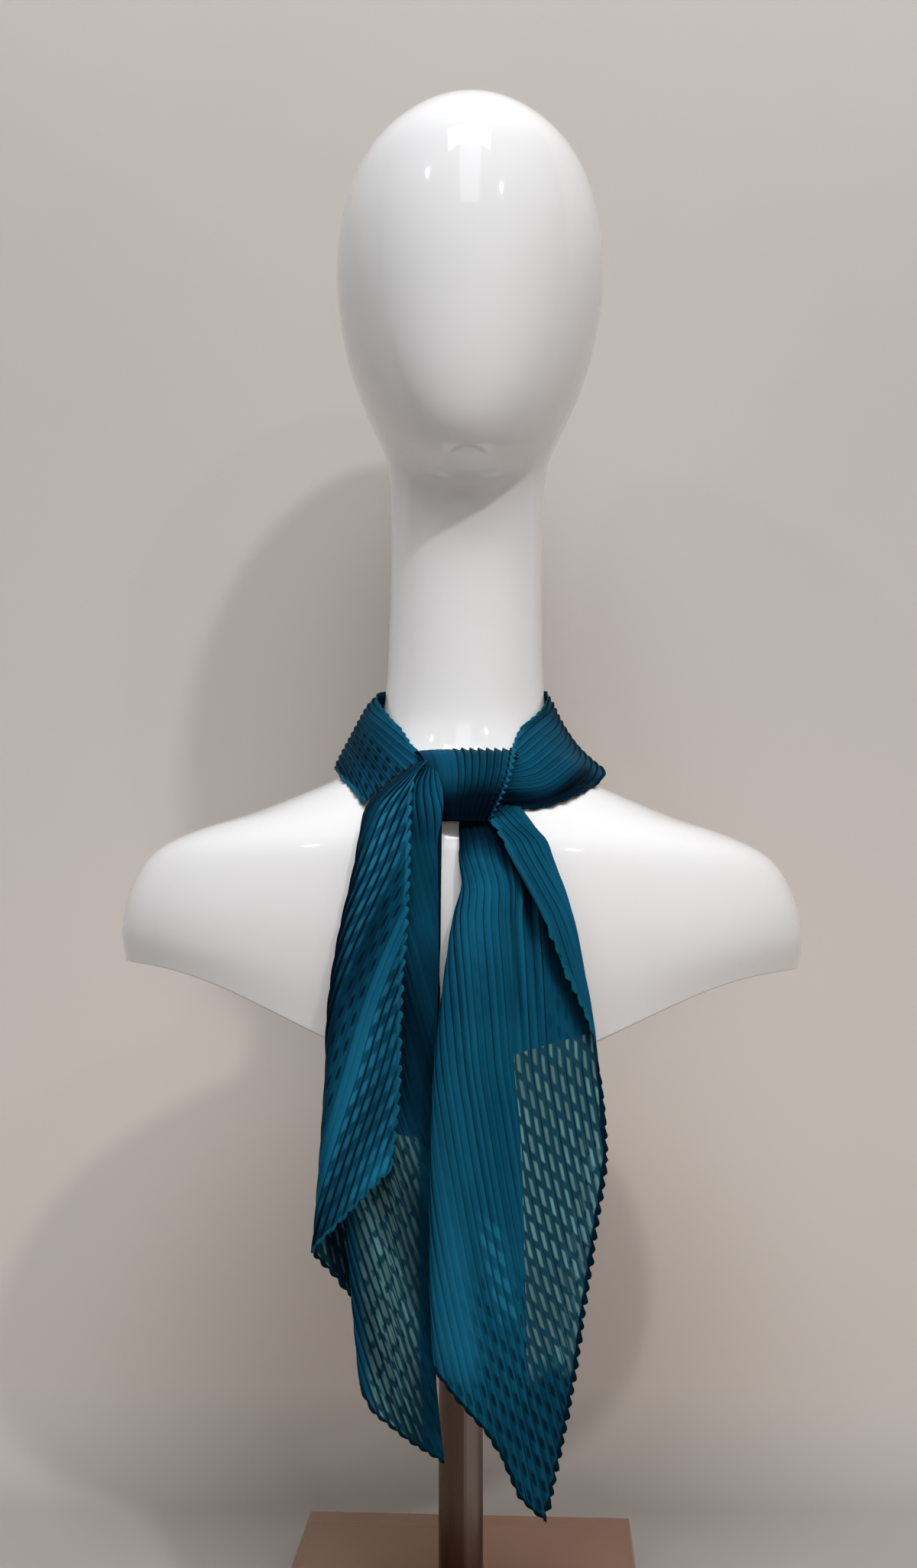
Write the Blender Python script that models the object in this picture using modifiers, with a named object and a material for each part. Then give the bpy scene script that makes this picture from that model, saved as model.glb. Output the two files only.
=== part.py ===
"""A pleated scarf half-knotted round the neck of a limbless display bust.

The bust stands on a steel pole in a square acrylic base plate. The scarf is one
long pleated cloth. Each stretch of it that shows is cut as a flat pattern, marked
with its pleats and folds, folded into place and given its thickness.

Sizes are millimetres in the tables and are turned into metres where a mesh is made.
+X is the viewer's right, -Y faces the viewer and +Z is up. The origin is the
centre of the base plate's underside.
"""

import math
from collections import namedtuple

import bmesh
import bpy
from mathutils import Matrix, Vector
from mathutils.bvhtree import BVHTree
from mathutils.geometry import delaunay_2d_cdt

MM = 0.001

# Driving sizes, in millimetres
PLATE_SIDE = 200.0
PLATE_THICKNESS = 20.0
PLATE_EDGE = 1.0
PLATE_TURN = math.radians(-3.0)
POLE_DIAMETER = 25.0
POLE_TOP = 392.0
SEAT_GAP = 0.3  # between two pieces that touch
SOCKET_ROOM = 0.6  # the socket's diameter over the pole's
BUST_LEAN = math.radians(0.7)
RIM_HEIGHT = 330.0
RING_POINTS = 40

PLEAT_PITCH = 3.6  # across the flat cloth, from ridge to ridge
PLEAT_RISE = 0.17  # of the pitch, to each side of the cloth
GATHERED = 0.6  # of the pitch, at which the pleats have closed up and lie flat
TOOTH = 2.0  # how far a ridge reaches past a valley's end, halved
WALL = 1.0
FOLD_ROUND = 2.0  # how far a fold's bend lies inside its outermost line
FOLD_SHARE = 1.0  # pleats taken up by half a fold's bend
FLAT_MERGE = 0.6  # points of a flat pattern that lie closer than this are one
MERGE = 0.1  # the same for points of the folded cloth
CLEAR_OF_BUST = 2.6  # from the cloth's middle to the bust

SCARF = "pleated_scarf_on_bust"

BustRing = namedtuple("BustRing", "s half side_z front front_z back back_z")
BUST_RINGS = [
    BustRing(0, 191.5, 371, -93, 319.5, 80, 311),
    BustRing(1, 193.5, 389, -99, 366.5, 88, 360),
    BustRing(2, 189.0, 411, -99, 402, 90, 400),
    BustRing(3, 176.0, 432, -94, 434, 86, 434),
    BustRing(4, 151.5, 445, -86, 449, 80, 451),
    BustRing(5, 123.0, 454, -77, 461, 73, 465),
    BustRing(6, 93.0, 466, -68, 472, 65, 479),
    BustRing(7, 70.5, 476.5, -59, 483, 57, 492),
    BustRing(8, 54.0, 492, -52, 499, 51.5, 506),
    BustRing(9, 46.0, 520, -48, 522, 48, 528),
    BustRing(10, 43.7, 585, -46, 585, 46, 590),
    BustRing(11, 44.5, 640, -47, 634, 47, 652),
    BustRing(12, 47.0, 660, -60, 642, 56, 668),
    BustRing(13, 51.7, 672, -78, 650, 68, 684),
    BustRing(14, 60.8, 691.5, -89, 667.5, 81, 703.5),
    BustRing(15, 69.5, 715, -95.5, 698, 89.5, 725),
    BustRing(16, 75.8, 744, -99.5, 738, 93.5, 750),
    BustRing(17, 77.8, 770, -100, 770, 93.7, 771),
    BustRing(18, 75.9, 794, -97.6, 797, 91.6, 794),
    BustRing(19, 70.2, 816, -91.6, 822, 86.1, 818),
    BustRing(20, 59.5, 835, -78.1, 840, 74.2, 837),
    BustRing(21, 41.4, 851.5, -55.5, 854.5, 52.6, 852.5),
    BustRing(22, 18.6, 862.5, -25.3, 863.5, 23.6, 863),
]
BUST_TOP = 866.7
RIM_SWEEP = 1.85  # how late the rim drops on its way from a shoulder to the front
SWEPT_RINGS = 2.95  # over which that fades out
UNDER_ARCH = 10.0  # how far the underside's middle lies above a flat one
JAW_RINGS = (10.5, 11.5, 12.5, 13.5, 14.5)  # worked out between the table's rings

# Rows down a tail: where each edge or fold crosses the height z, as a count of
# pleats across the flat cloth (q) and as a place across the front (x).
OuterRow = namedtuple("OuterRow", "z edge_q edge_x fold_q fold_x back_q back_x y")
LEFT_OUTER = [
    OuterRow(482, 17.8, -17.4, 24.0, -24.0, 33.4, -14.8, -78),
    OuterRow(474, 17.0, -23.6, 23.4, -31.6, 33.2, -14.0, -85),
    OuterRow(468, 16.4, -24.8, 23.1, -40.0, 33.0, -12.0, -90),
    OuterRow(462, 15.9, -25.6, 22.7, -46.6, 32.9, -11.0, -94.5),
    OuterRow(455, 15.3, -26.0, 22.3, -50.6, 32.8, -10.4, -99),
    OuterRow(443, 14.2, -26.2, 21.6, -52.6, 32.8, -10.2, -105),
    OuterRow(426, 12.6, -26.3, 20.5, -54.6, 32.8, -10.3, -111),
    OuterRow(391, 8.7, -27.5, 18.3, -62.1, 32.6, -10.3, -113),
    OuterRow(357, 5.7, -29.7, 16.1, -67.0, 31.6, -11.0, -113),
    OuterRow(320, 3.2, -30.6, 13.8, -69.2, 29.8, -12.0, -112),
    OuterRow(277, 0.4, -34.3, 11.0, -72.0, 27.4, -13.0, -111),
    OuterRow(233, -2.4, -37.0, 8.2, -75.1, 25.4, -13.4, -110),
    OuterRow(190, -5.2, -39.0, 5.4, -76.0, 23.0, -13.4, -109),
]
InnerRow = namedtuple("InnerRow", "z return_q fold_q fold_x end_q end_x")
LEFT_INNER = [
    InnerRow(478, 22.1, 25.5, -23.0, 33.4, -14.8),
    InnerRow(468, 21.1, 24.5, -34.5, 33.0, -12.6),
    InnerRow(455, 19.8, 23.2, -43.5, 32.2, -11.5),
    InnerRow(440, 18.3, 21.7, -46.0, 31.3, -12.0),
    InnerRow(415, 16.0, 19.4, -49.0, 30.0, -11.5),
    InnerRow(379, 12.6, 16.0, -52.0, 27.7, -11.0),
    InnerRow(300, 5.1, 8.5, -57.5, 21.0, -12.5),
    InnerRow(253, 0.6, 4.0, -58.2, 16.6, -12.9),
    InnerRow(210, -2.5, 0.9, -55.4, 12.9, -13.0),
    InnerRow(171, -5.1, -1.7, -51.8, 9.6, -12.4),
    InnerRow(130, -8.1, -4.7, -48.0, 6.3, -8.4),
]
RightRow = namedtuple(
    "RightRow", "z back_q back_x left_q left_x tuck_q tuck right_q right_x left_y right_y"
)
RIGHT_TAIL = [
    RightRow(451, 8.4, 21.5, 15.3, -2.0, 19.5, 0.0, 27.2, 36.0, -90.5, -88),
    RightRow(446, 8.0, 22.0, 15.0, -1.5, 19.6, 0.0, 27.5, 39.5, -94, -91),
    RightRow(440, 7.6, 23.0, 14.6, -1.5, 19.7, 0.0, 27.8, 44.5, -98, -94),
    RightRow(432, 7.0, 24.0, 14.1, -1.8, 19.9, 0.0, 28.1, 47.3, -103, -97),
    RightRow(416, 5.7, 25.0, 13.2, -0.5, 20.2, 0.1, 28.9, 53.0, -109, -100.5),
    RightRow(401, 4.5, 25.5, 12.4, -4.8, 20.4, 0.3, 29.7, 57.6, -112, -102.5),
    RightRow(377, 2.6, 26.0, 11.0, -8.5, 20.3, 0.7, 30.4, 62.5, -117, -103),
    RightRow(345, 0.0, 26.5, 9.2, -12.4, 20.0, 1.0, 31.4, 68.1, -120, -102.5),
    RightRow(325, -1.6, 26.5, 8.1, -14.4, 19.6, 1.0, 31.8, 70.6, -121, -102),
    RightRow(304, -3.3, 26.5, 7.0, -15.2, 19.2, 1.0, 32.6, 77.0, -121.5, -101.5),
    RightRow(280, -5.0, 26.5, 5.8, -15.8, 18.6, 1.0, 31.9, 78.4, -121, -101),
    RightRow(222, -9.0, 26.0, 2.9, -16.0, 16.0, 0.7, 26.7, 69.8, -120, -100),
    RightRow(173, -12.0, 26.0, 0.5, -14.2, 13.0, 0.0, 21.7, 62.4, -119, -99.5),
    RightRow(132, -14.0, 26.0, -1.6, -13.0, 11.0, 0.0, 17.1, 54.3, -118.5, -99),
    RightRow(96, -16.0, 26.0, -3.3, -12.0, 9.0, 0.0, 13.6, 48.0, -118, -98.5),
]
LAYER_STEP = 4.2  # between two layers of one tail

# Sections across the neck wrap, from the knot's left, round the back, to its right
WrapRow = namedtuple("WrapRow", "s top_q bottom_q top bottom belly")
NECK_WRAP = [
    WrapRow(0, 2.5, 10.5, (-19.5, -62, 483.5), (-51, -77, 459.0), 2.0),
    WrapRow(1, 1.0, 12.5, (-35.5, -38, 504.5), (-67, -33, 475.5), 3.0),
    WrapRow(2, 0.0, 13.0, (-50.0, 0, 524.5), (-71, 2, 483.5), 1.0),
    WrapRow(3, 0.0, 13.5, (-38.0, 40, 532.0), (-54, 52, 483.0), 2.0),
    WrapRow(4, 0.0, 13.5, (3.5, 57, 535.0), (3, 73, 483.0), 2.0),
    WrapRow(5, 0.0, 13.5, (45.0, 40, 532.0), (60, 52, 483.0), 2.0),
    WrapRow(6, 0.0, 13.5, (50.5, 0, 526.0), (82.5, -4, 481.0), -5.0),
    WrapRow(7, 1.0, 12.5, (34.5, -40, 504.5), (67, -53, 466.5), 2.0),
    WrapRow(7.5, 1.7, 12.0, (29.5, -53, 494.5), (46, -73, 456.5), 1.5),
    WrapRow(8, 2.5, 11.0, (28.5, -62, 485.5), (14.0, -86, 460.0), 1.0),
]
WRAP_STATION = 38.0  # along the cloth, from one section to the next
WRAP_CUTS = (0.0, 2.6, 5.4, 8.0)  # where one stretch ends and the next begins

KnotRow = namedtuple("KnotRow", "s left right y z")
KNOT = [
    KnotRow(0, -16.0, 26.0, -58, 478.0),
    KnotRow(1, -19.0, 27.2, -64, 485.5),
    KnotRow(2, -17.0, 26.5, -74, 488.0),
    KnotRow(3, -14.0, 25.5, -86, 484.0),
    KnotRow(4, -11.8, 23.5, -94, 474.5),
    KnotRow(5, -11.0, 20.5, -97.5, 465.5),
    KnotRow(6, -10.6, 17.0, -98, 457.5),
    KnotRow(7, -10.0, 13.3, -96.5, 449.5),
]
KNOT_STATION = 9.0
KNOT_PLEATS = 10


def clear_scene():
    for thing in list(bpy.data.objects):
        bpy.data.objects.remove(thing, do_unlink=True)


def collection(name, hidden=False):
    group = bpy.data.collections.new(name)
    bpy.context.scene.collection.children.link(group)
    group.hide_render = hidden
    return group


def material(name, colour, roughness, metallic=0.0, transmission=0.0):
    look = bpy.data.materials.new(name)
    look.use_nodes = True
    shader = look.node_tree.nodes["Principled BSDF"]
    shader.inputs["Base Color"].default_value = (*colour, 1.0)
    shader.inputs["Roughness"].default_value = roughness
    shader.inputs["Metallic"].default_value = metallic
    shader.inputs["Transmission Weight"].default_value = transmission
    look.diffuse_color = (*colour, 1.0)
    return look


def object_from(name, shape, group, look):
    """A named, smoothly shaded object from a bmesh."""
    mesh = bpy.data.meshes.new(name)
    shape.to_mesh(mesh)
    shape.free()
    mesh.materials.append(look)
    mesh.shade_smooth()
    mesh.set_sharp_from_angle(angle=math.radians(35))
    thing = bpy.data.objects.new(name, mesh)
    group.objects.link(thing)
    return thing


def blended(table, at):
    """The table's row at a value of its first column, on a smooth curve through its rows."""
    table = sorted(table)
    last = len(table) - 2
    i = next((k for k in range(last + 1) if at <= table[k + 1][0]), last)
    near = [table[max(i - 1, 0)], table[i], table[i + 1], table[min(i + 2, last + 1)]]
    span = near[2][0] - near[1][0]
    t = (at - near[1][0]) / span
    if t < 0 or t > 1:
        return type(near[1])(*(straight(near[1][c], near[2][c], t) for c in range(len(near[1]))))
    values = []
    for column in range(len(near[1])):
        a, b = near[1][column], near[2][column]
        ahead = tilt(near[2], near[0], column) * span
        after = tilt(near[3], near[1], column) * span
        values.append(hermite(a, b, ahead, after, t))
    return type(near[1])(*values)


def straight(a, b, t):
    if isinstance(a, tuple):
        return Vector(a).lerp(Vector(b), t)
    return a + (b - a) * t


def tilt(high, low, column):
    a, b = low[column], high[column]
    if isinstance(a, tuple):
        a, b = Vector(a), Vector(b)
    return (b - a) / (high[0] - low[0])


def hermite(a, b, ahead, after, t):
    if isinstance(a, tuple):
        a, b = Vector(a), Vector(b)
    return (
        a * (2 * t**3 - 3 * t**2 + 1)
        + ahead * (t**3 - 2 * t**2 + t)
        + b * (3 * t**2 - 2 * t**3)
        + after * (t**3 - t**2)
    )


# Stand


def base_plate(group, look):
    shape = bmesh.new()
    size = Matrix.Diagonal((PLATE_SIDE * MM, PLATE_SIDE * MM, PLATE_THICKNESS * MM, 1))
    raised = Matrix.Translation((0, 0, PLATE_THICKNESS * MM / 2))
    bmesh.ops.create_cube(shape, size=1, matrix=raised @ Matrix.Rotation(PLATE_TURN, 4, "Z") @ size)
    plate = object_from("base_plate", shape, group, look)
    edge = plate.modifiers.new("edge", "BEVEL")
    edge.width = PLATE_EDGE * MM
    edge.segments = 2
    return plate


def upright(name, diameter, low, high, group, look, sides=48):
    """A round bar that stands on the axis from one height to another."""
    shape = bmesh.new()
    middle = Matrix.Translation((0, 0, (low + high) / 2 * MM))
    bmesh.ops.create_cone(
        shape,
        cap_ends=True,
        segments=sides,
        radius1=diameter / 2 * MM,
        radius2=diameter / 2 * MM,
        depth=(high - low) * MM,
        matrix=middle,
    )
    return object_from(name, shape, group, look)


# Bust


def ring_height(ring, reach, end_z):
    """A ring's height where it reaches a share of its full depth to the front or the back."""
    sweep = 1 + RIM_SWEEP * max(0, 1 - ring.s / SWEPT_RINGS)
    return ring.side_z + (end_z - ring.side_z) * reach ** (2 * sweep)


def ring_point(ring, angle, scale=1.0):
    """A point of one ring, at an angle from the viewer's right, counter-clockwise from above.

    A scale under 1 gives the underside, which spans from the ring's front to its back.
    """
    across, along = math.cos(angle) * scale, math.sin(angle) * scale
    end = ring.back if along > 0 else -ring.front
    reach = math.sqrt(max(1 - across**2, 1e-12))
    front, back = (ring_height(ring, reach, z) for z in (ring.front_z, ring.back_z))
    behind = min(max(0.5 + 0.5 * along / reach, 0), 1)
    height = front + (back - front) * behind + UNDER_ARCH * (1 - scale**2)
    return Vector((ring.half * across, along * end, height)) * MM


def bust(group, look):
    shape = bmesh.new()
    rim = BUST_RINGS[0]
    inner = [(rim, share) for share in (0.4, 0.75)]
    stations = sorted([ring.s for ring in BUST_RINGS] + list(JAW_RINGS))
    rings = inner + [(blended(BUST_RINGS, s), 1.0) for s in stations]
    rows = [
        [
            shape.verts.new(ring_point(ring, 2 * math.pi * k / RING_POINTS, share))
            for k in range(RING_POINTS)
        ]
        for ring, share in rings
    ]
    for low, high in zip(rows, rows[1:]):
        for k in range(RING_POINTS):
            after = (k + 1) % RING_POINTS
            shape.faces.new((low[k], low[after], high[after], high[k]))
    centre = shape.verts.new(ring_point(rim, 0, 0.0))
    crown = shape.verts.new((0, 0, BUST_TOP * MM))
    for k in range(RING_POINTS):
        after = (k + 1) % RING_POINTS
        shape.faces.new((rows[0][after], rows[0][k], centre))
        shape.faces.new((rows[-1][k], rows[-1][after], crown))
    pivot = Matrix.Translation((0, 0, RIM_HEIGHT * MM))
    lean = pivot @ Matrix.Rotation(BUST_LEAN, 4, "Y") @ pivot.inverted()
    bmesh.ops.transform(shape, matrix=lean, verts=shape.verts)
    return object_from("bust", shape, group, look)


def cut_socket(body, group, look):
    """The hole under the bust that the pole stands in."""
    cutter = upright(
        "pole_socket",
        POLE_DIAMETER + SOCKET_ROOM,
        RIM_HEIGHT - 60,
        POLE_TOP + SEAT_GAP,
        group,
        look,
    )
    cutter.hide_render = True
    cutter.display_type = "WIRE"
    socket = body.modifiers.new("socket", "BOOLEAN")
    socket.operation = "DIFFERENCE"
    socket.object = cutter


# Cloth


def ridge(q):
    """1 on a pleat's ridge, at each whole number, and -1 in the valleys between."""
    return 4 * abs(q - math.floor(q) - 0.5) - 1


def toothed(corners, reach):
    """A free edge of the flat cloth, which steps out at each ridge and in at each valley."""
    points = []
    for (q0, v0), (q1, v1) in zip(corners, corners[1:]):
        points.append((q0, v0))
        lines = [k / 2 for k in range(math.floor(2 * min(q0, q1)) + 1, math.ceil(2 * max(q0, q1)))]
        for q in lines if q1 > q0 else reversed(lines):
            share = (q - q0) / (q1 - q0)
            points.append((q, v0 + (v1 - v0) * share + reach * ridge(q)))
    return points


def flat_pattern(outline, marks):
    """The flat cloth inside its outline, split along its pleats and marks into triangles."""
    turns = zip(outline, outline[1:] + outline[:1])
    if sum(a[0] * b[1] - b[0] * a[1] for a, b in turns) < 0:
        outline = outline[::-1]
    low = min(v for q, v in outline) - 1
    high = max(v for q, v in outline) + 1
    first = math.floor(2 * min(q for q, v in outline))
    last = math.ceil(2 * max(q for q, v in outline))
    pleats = [[(k / 2, low), (k / 2, high)] for k in range(first, last + 1)]
    points, edges = [], []
    for line in pleats + marks:
        start = len(points)
        points += [Vector((q * PLEAT_PITCH, v)) for q, v in line]
        edges += [(k, k + 1) for k in range(start, len(points) - 1)]
    start = len(points)
    points += [Vector((q * PLEAT_PITCH, v)) for q, v in outline]
    face = list(range(start, len(points)))
    flat, _, triangles, _, _, sources = delaunay_2d_cdt(points, edges, [face], 0, FLAT_MERGE)
    kept = [t for t, source in zip(triangles, sources) if source]
    return [(p.x / PLEAT_PITCH, p.y) for p in flat], kept


def pleated(place, q, v):
    """A point of the pleated cloth: its place, moved out on ridges and in along valleys.

    The pleats are lower where the cloth is gathered and where it bends round a fold.
    """
    across = place(q + 0.5, v) - place(q - 0.5, v)
    along = place(q, v + 2.0) - place(q, v - 2.0)
    out = across.cross(along).normalized()
    pitch = (place(q + 1, v) - place(q - 1, v)).length / 2
    open_share = min(max((pitch / PLEAT_PITCH - GATHERED) / (1 - GATHERED), 0), 1)
    rise = PLEAT_RISE * PLEAT_PITCH * open_share
    return place(q, v) + out * ridge(q) * rise


def clear_of(body, point):
    """The point, or one further out where it would lie in or against the body."""
    near, normal, _, _ = body.find_nearest(point * MM)
    away = point * MM - near
    inside = away.dot(normal) < -0.7 * away.length
    if away.length >= CLEAR_OF_BUST * MM and not inside:
        return point
    direction = normal if inside or away.length < 1e-6 else away.normalized()
    return (near + direction * CLEAR_OF_BUST * MM) / MM


def cloth(name, outline, marks, place, body, group, look):
    """One stretch of the scarf: a flat pattern folded into place, with its wall."""
    flat, triangles = flat_pattern(outline, marks)
    used = sorted({k for triangle in triangles for k in triangle})
    shape = bmesh.new()

    def over_bust(q, v):
        return clear_of(body, place(q, v))

    corners = {k: shape.verts.new(pleated(over_bust, *flat[k]) * MM) for k in used}
    for triangle in triangles:
        shape.faces.new([corners[k] for k in triangle])
    bmesh.ops.remove_doubles(shape, verts=shape.verts, dist=MERGE * MM)
    thing = object_from(name, shape, group, look)
    wall = thing.modifiers.new("wall", "SOLIDIFY")
    wall.thickness = WALL * MM
    wall.offset = 0
    return thing


def level_rows(heights, low_q, high_q):
    return [[(low_q, z), (high_q, z)] for z in heights]


def traced(table, column, shift=0.0):
    """A fold or an edge drawn on the flat cloth, from row to row of its table."""
    return [(getattr(row, column) + shift, row[0]) for row in table]


def on_path(knots, q):
    """The place on a folded section, from knots given as (q, x, y) in the order of q."""
    i = next((k for k in range(len(knots) - 2) if q <= knots[k + 1][0]), len(knots) - 2)
    a, b = knots[i], knots[i + 1]
    share = (q - a[0]) / (b[0] - a[0])
    return a[1] + (b[1] - a[1]) * share, a[2] + (b[2] - a[2]) * share


def left_outer_place(q, z):
    row = blended(LEFT_OUTER, z)
    back_y = row.y + 3 * LAYER_STEP
    knots = [
        (row.edge_q, row.edge_x, row.y - 1),
        (row.fold_q - FOLD_SHARE, row.fold_x + FOLD_ROUND, row.y),
        (row.fold_q, row.fold_x, (row.y + back_y) / 2),
        (row.fold_q + FOLD_SHARE, row.fold_x + FOLD_ROUND, back_y),
        (row.back_q, row.back_x, back_y),
    ]
    return Vector((*on_path(knots, q), z))


def tail_left_outer(body, group, look):
    rows = [row.z for row in LEFT_OUTER[1:-1]]
    free_edge = [(17.8, 482), (17.0, 474), (15.3, 455), (12.6, 426), (8.7, 391), (5.7, 357)]
    free_edge += [(3.2, 320), (0.4, 277), (8.2, 233), (11.1, 219.5), (12.3, 211), (24.5, 197)]
    outer_edge = [(24.5, 197), (25.4, 233), (27.4, 277), (29.8, 320), (31.6, 357), (32.6, 391)]
    outer_edge += [(32.8, 443), (32.9, 462), (33.3, 481), (24.0, 478)]
    outline = toothed(free_edge, -TOOTH) + outer_edge
    folds = [traced(LEFT_OUTER, "fold_q", shift) for shift in (-FOLD_SHARE, 0, FOLD_SHARE)]
    marks = folds + level_rows(rows, -3, 36)
    return cloth("tail_left_outer", outline, marks, left_outer_place, body, group, look)


def left_inner_place(q, z):
    row = blended(LEFT_INNER, z)
    y = blended(LEFT_OUTER, z).y + LAYER_STEP
    behind = y + LAYER_STEP
    knots = [
        (row.return_q, row.fold_x + 3.4 * PLEAT_PITCH, behind),
        (row.fold_q - FOLD_SHARE, row.fold_x + FOLD_ROUND, behind),
        (row.fold_q, row.fold_x, (y + behind) / 2),
        (row.fold_q + FOLD_SHARE, row.fold_x + FOLD_ROUND, y),
        (row.end_q, row.end_x, y),
    ]
    return Vector((*on_path(knots, q), z))


def tail_left_inner(body, group, look):
    rows = [row.z for row in LEFT_INNER[1:-1]] + [426, 391, 343]
    end = traced(LEFT_INNER, "end_q")
    inside = traced(LEFT_INNER, "return_q")
    outline = (
        end
        + toothed([end[-1], (2.9, 140), (-0.65, 154.5), (-1.7, 170.5)], -TOOTH)
        + [(-1.7, 170.5)]
        + inside[-2::-1]
    )
    folds = [traced(LEFT_INNER, "fold_q", shift) for shift in (-FOLD_SHARE, 0, FOLD_SHARE)]
    marks = folds + level_rows(rows, -9, 34)
    return cloth("tail_left_inner", outline, marks, left_inner_place, body, group, look)


def right_tail_place(q, z):
    row = blended(RIGHT_TAIL, z)
    wide = row.right_x - row.left_x

    def front(x):
        return row.left_y + (row.right_y - row.left_y) * (x - row.left_x) / wide

    share = (row.tuck_q - row.left_q) / (row.right_q - row.left_q)
    tuck_x = row.left_x + wide * share
    riser_x = tuck_x + PLEAT_PITCH * (1 - row.tuck) - 0.3 * row.tuck
    step = LAYER_STEP
    knots = [
        (row.back_q, row.back_x, front(row.back_x) + step + 1),
        (row.left_q - FOLD_SHARE, row.left_x + FOLD_ROUND, row.left_y + step),
        (row.left_q, row.left_x, row.left_y + step / 2),
        (row.left_q + FOLD_SHARE, row.left_x + FOLD_ROUND, row.left_y),
        (row.tuck_q, tuck_x, front(tuck_x) - 1.6 * row.tuck),
        (row.tuck_q + 1.0, riser_x, front(tuck_x) + 1.4 * row.tuck),
        (row.right_q - FOLD_SHARE, row.right_x - FOLD_ROUND, row.right_y),
        (row.right_q, row.right_x, row.right_y - step / 2),
        (row.right_q + FOLD_SHARE, row.right_x - FOLD_ROUND, row.right_y - step),
        (row.right_q + 6.0, row.right_x - 6.0 * PLEAT_PITCH, front(row.right_x - 21) - step - 1),
    ]
    return Vector((*on_path(knots, q), z))


def tail_right(body, group, look):
    rows = [row.z for row in RIGHT_TAIL[1:-1]]
    lapel_edge = [(32.4, 451), (34.2, 440), (34.4, 400), (33.6, 373), (33.1, 360), (31.9, 332), (31.2, 325)]
    right_edge = [(31.2, 325), (30.8, 304), (30.1, 280), (28.8, 264), (24.9, 222), (19.9, 173)]
    right_edge += [(15.3, 132), (11.8, 100)]
    left_edge = [(11.8, 100), (8.9, 115), (8.0, 134), (6.5, 149), (3.7, 166), (1.1, 184)]
    back_edge = [(1.1, 184), (-8.2, 237)]
    inside = [(-8.2, 237), (-5.0, 280), (0.0, 345), (4.5, 401), (8.0, 446), (8.4, 451)]
    edges = (lapel_edge, right_edge, left_edge, back_edge)
    outline = [point for edge in edges for point in toothed(edge, -TOOTH)] + inside
    folds = [
        traced(RIGHT_TAIL, column, shift)
        for column in ("left_q", "right_q")
        for shift in (-FOLD_SHARE, 0, FOLD_SHARE)
    ]
    folds += [traced(RIGHT_TAIL, "tuck_q", shift) for shift in (0, 1.0)]
    marks = folds + level_rows(rows, -17, 40)
    return cloth("tail_right", outline, marks, right_tail_place, body, group, look)


def wrap_place(q, v):
    row = blended(NECK_WRAP, v / WRAP_STATION)
    share = (q - row.top_q) / (row.bottom_q - row.top_q)
    down = row.bottom - row.top
    ahead = blended(NECK_WRAP, v / WRAP_STATION + 0.05)
    out = (ahead.top + ahead.bottom - row.top - row.bottom).cross(down).normalized()
    return row.top + down * share + out * row.belly * 4 * share * (1 - share)


def neck_wrap(name, start, end, body, group, look):
    low = start * WRAP_STATION + SEAT_GAP
    high = end * WRAP_STATION - SEAT_GAP
    steps = max(2, round((end - start) * 3))
    stations = [low + (high - low) * k / steps for k in range(steps + 1)]
    rows = [row.s * WRAP_STATION for row in NECK_WRAP if start < row.s < end]
    corners = [low, *rows, high]
    top = [(blended(NECK_WRAP, v / WRAP_STATION).top_q, v) for v in corners]
    bottom = [(blended(NECK_WRAP, v / WRAP_STATION).bottom_q, v) for v in corners]
    outline = toothed(top, TOOTH) + [top[-1]] + toothed(bottom[::-1], TOOTH) + [bottom[0]]
    marks = level_rows(stations[1:-1], -2, 16)
    return cloth(name, outline, marks, wrap_place, body, group, look)


def knot_place(q, v):
    row = blended(KNOT, v / KNOT_STATION)
    share = q / KNOT_PLEATS
    bow = 3.0 * (2 * share - 1) ** 2
    return Vector((row.left + (row.right - row.left) * share, row.y + bow, row.z))


def knot_wrap(body, group, look):
    stations = [row.s * KNOT_STATION for row in KNOT]
    ends = (stations[0], stations[-1])
    outline = [(0, ends[0]), (KNOT_PLEATS, ends[0]), (KNOT_PLEATS, ends[1]), (0, ends[1])]
    marks = level_rows(stations[1:-1], -1, KNOT_PLEATS + 1)
    return cloth("knot_wrap", outline, marks, knot_place, body, group, look)


def scarf(bust_body, group, look):
    graph = bpy.context.evaluated_depsgraph_get()
    body = BVHTree.FromObject(bust_body, graph)
    names = ("neck_wrap_left", "neck_wrap_back", "neck_wrap_right")
    for name, start, end in zip(names, WRAP_CUTS, WRAP_CUTS[1:]):
        neck_wrap(name, start, end, body, group, look)
    knot_wrap(body, group, look)
    tail_left_outer(body, group, look)
    tail_left_inner(body, group, look)
    tail_right(body, group, look)


def main():
    clear_scene()
    group = collection(SCARF)
    cutters = collection("cutters", hidden=True)
    acrylic = material("clear_acrylic", (0.9, 0.93, 0.93), 0.05, transmission=1.0)
    steel = material("brushed_steel", (0.62, 0.61, 0.6), 0.28, metallic=1.0)
    gloss = material("white_gloss", (0.86, 0.86, 0.87), 0.12)
    teal = material("teal_satin", (0.006, 0.09, 0.15), 0.45)
    base_plate(group, acrylic)
    upright("pole", POLE_DIAMETER, PLATE_THICKNESS + SEAT_GAP, POLE_TOP, group, steel)
    display_bust = bust(group, gloss)
    scarf(display_bust, group, teal)
    cut_socket(display_bust, cutters, gloss)


main()
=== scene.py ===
# %% [markdown]
# # A pleated scarf on a display bust
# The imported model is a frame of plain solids: a bust on a pole and a plate, and a
# folded scarf in stiff sheets. This lesson dresses that frame. Nothing in it moves a
# solid; each soft sheet gets a finer cloth of the same cut laid over it.

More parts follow.
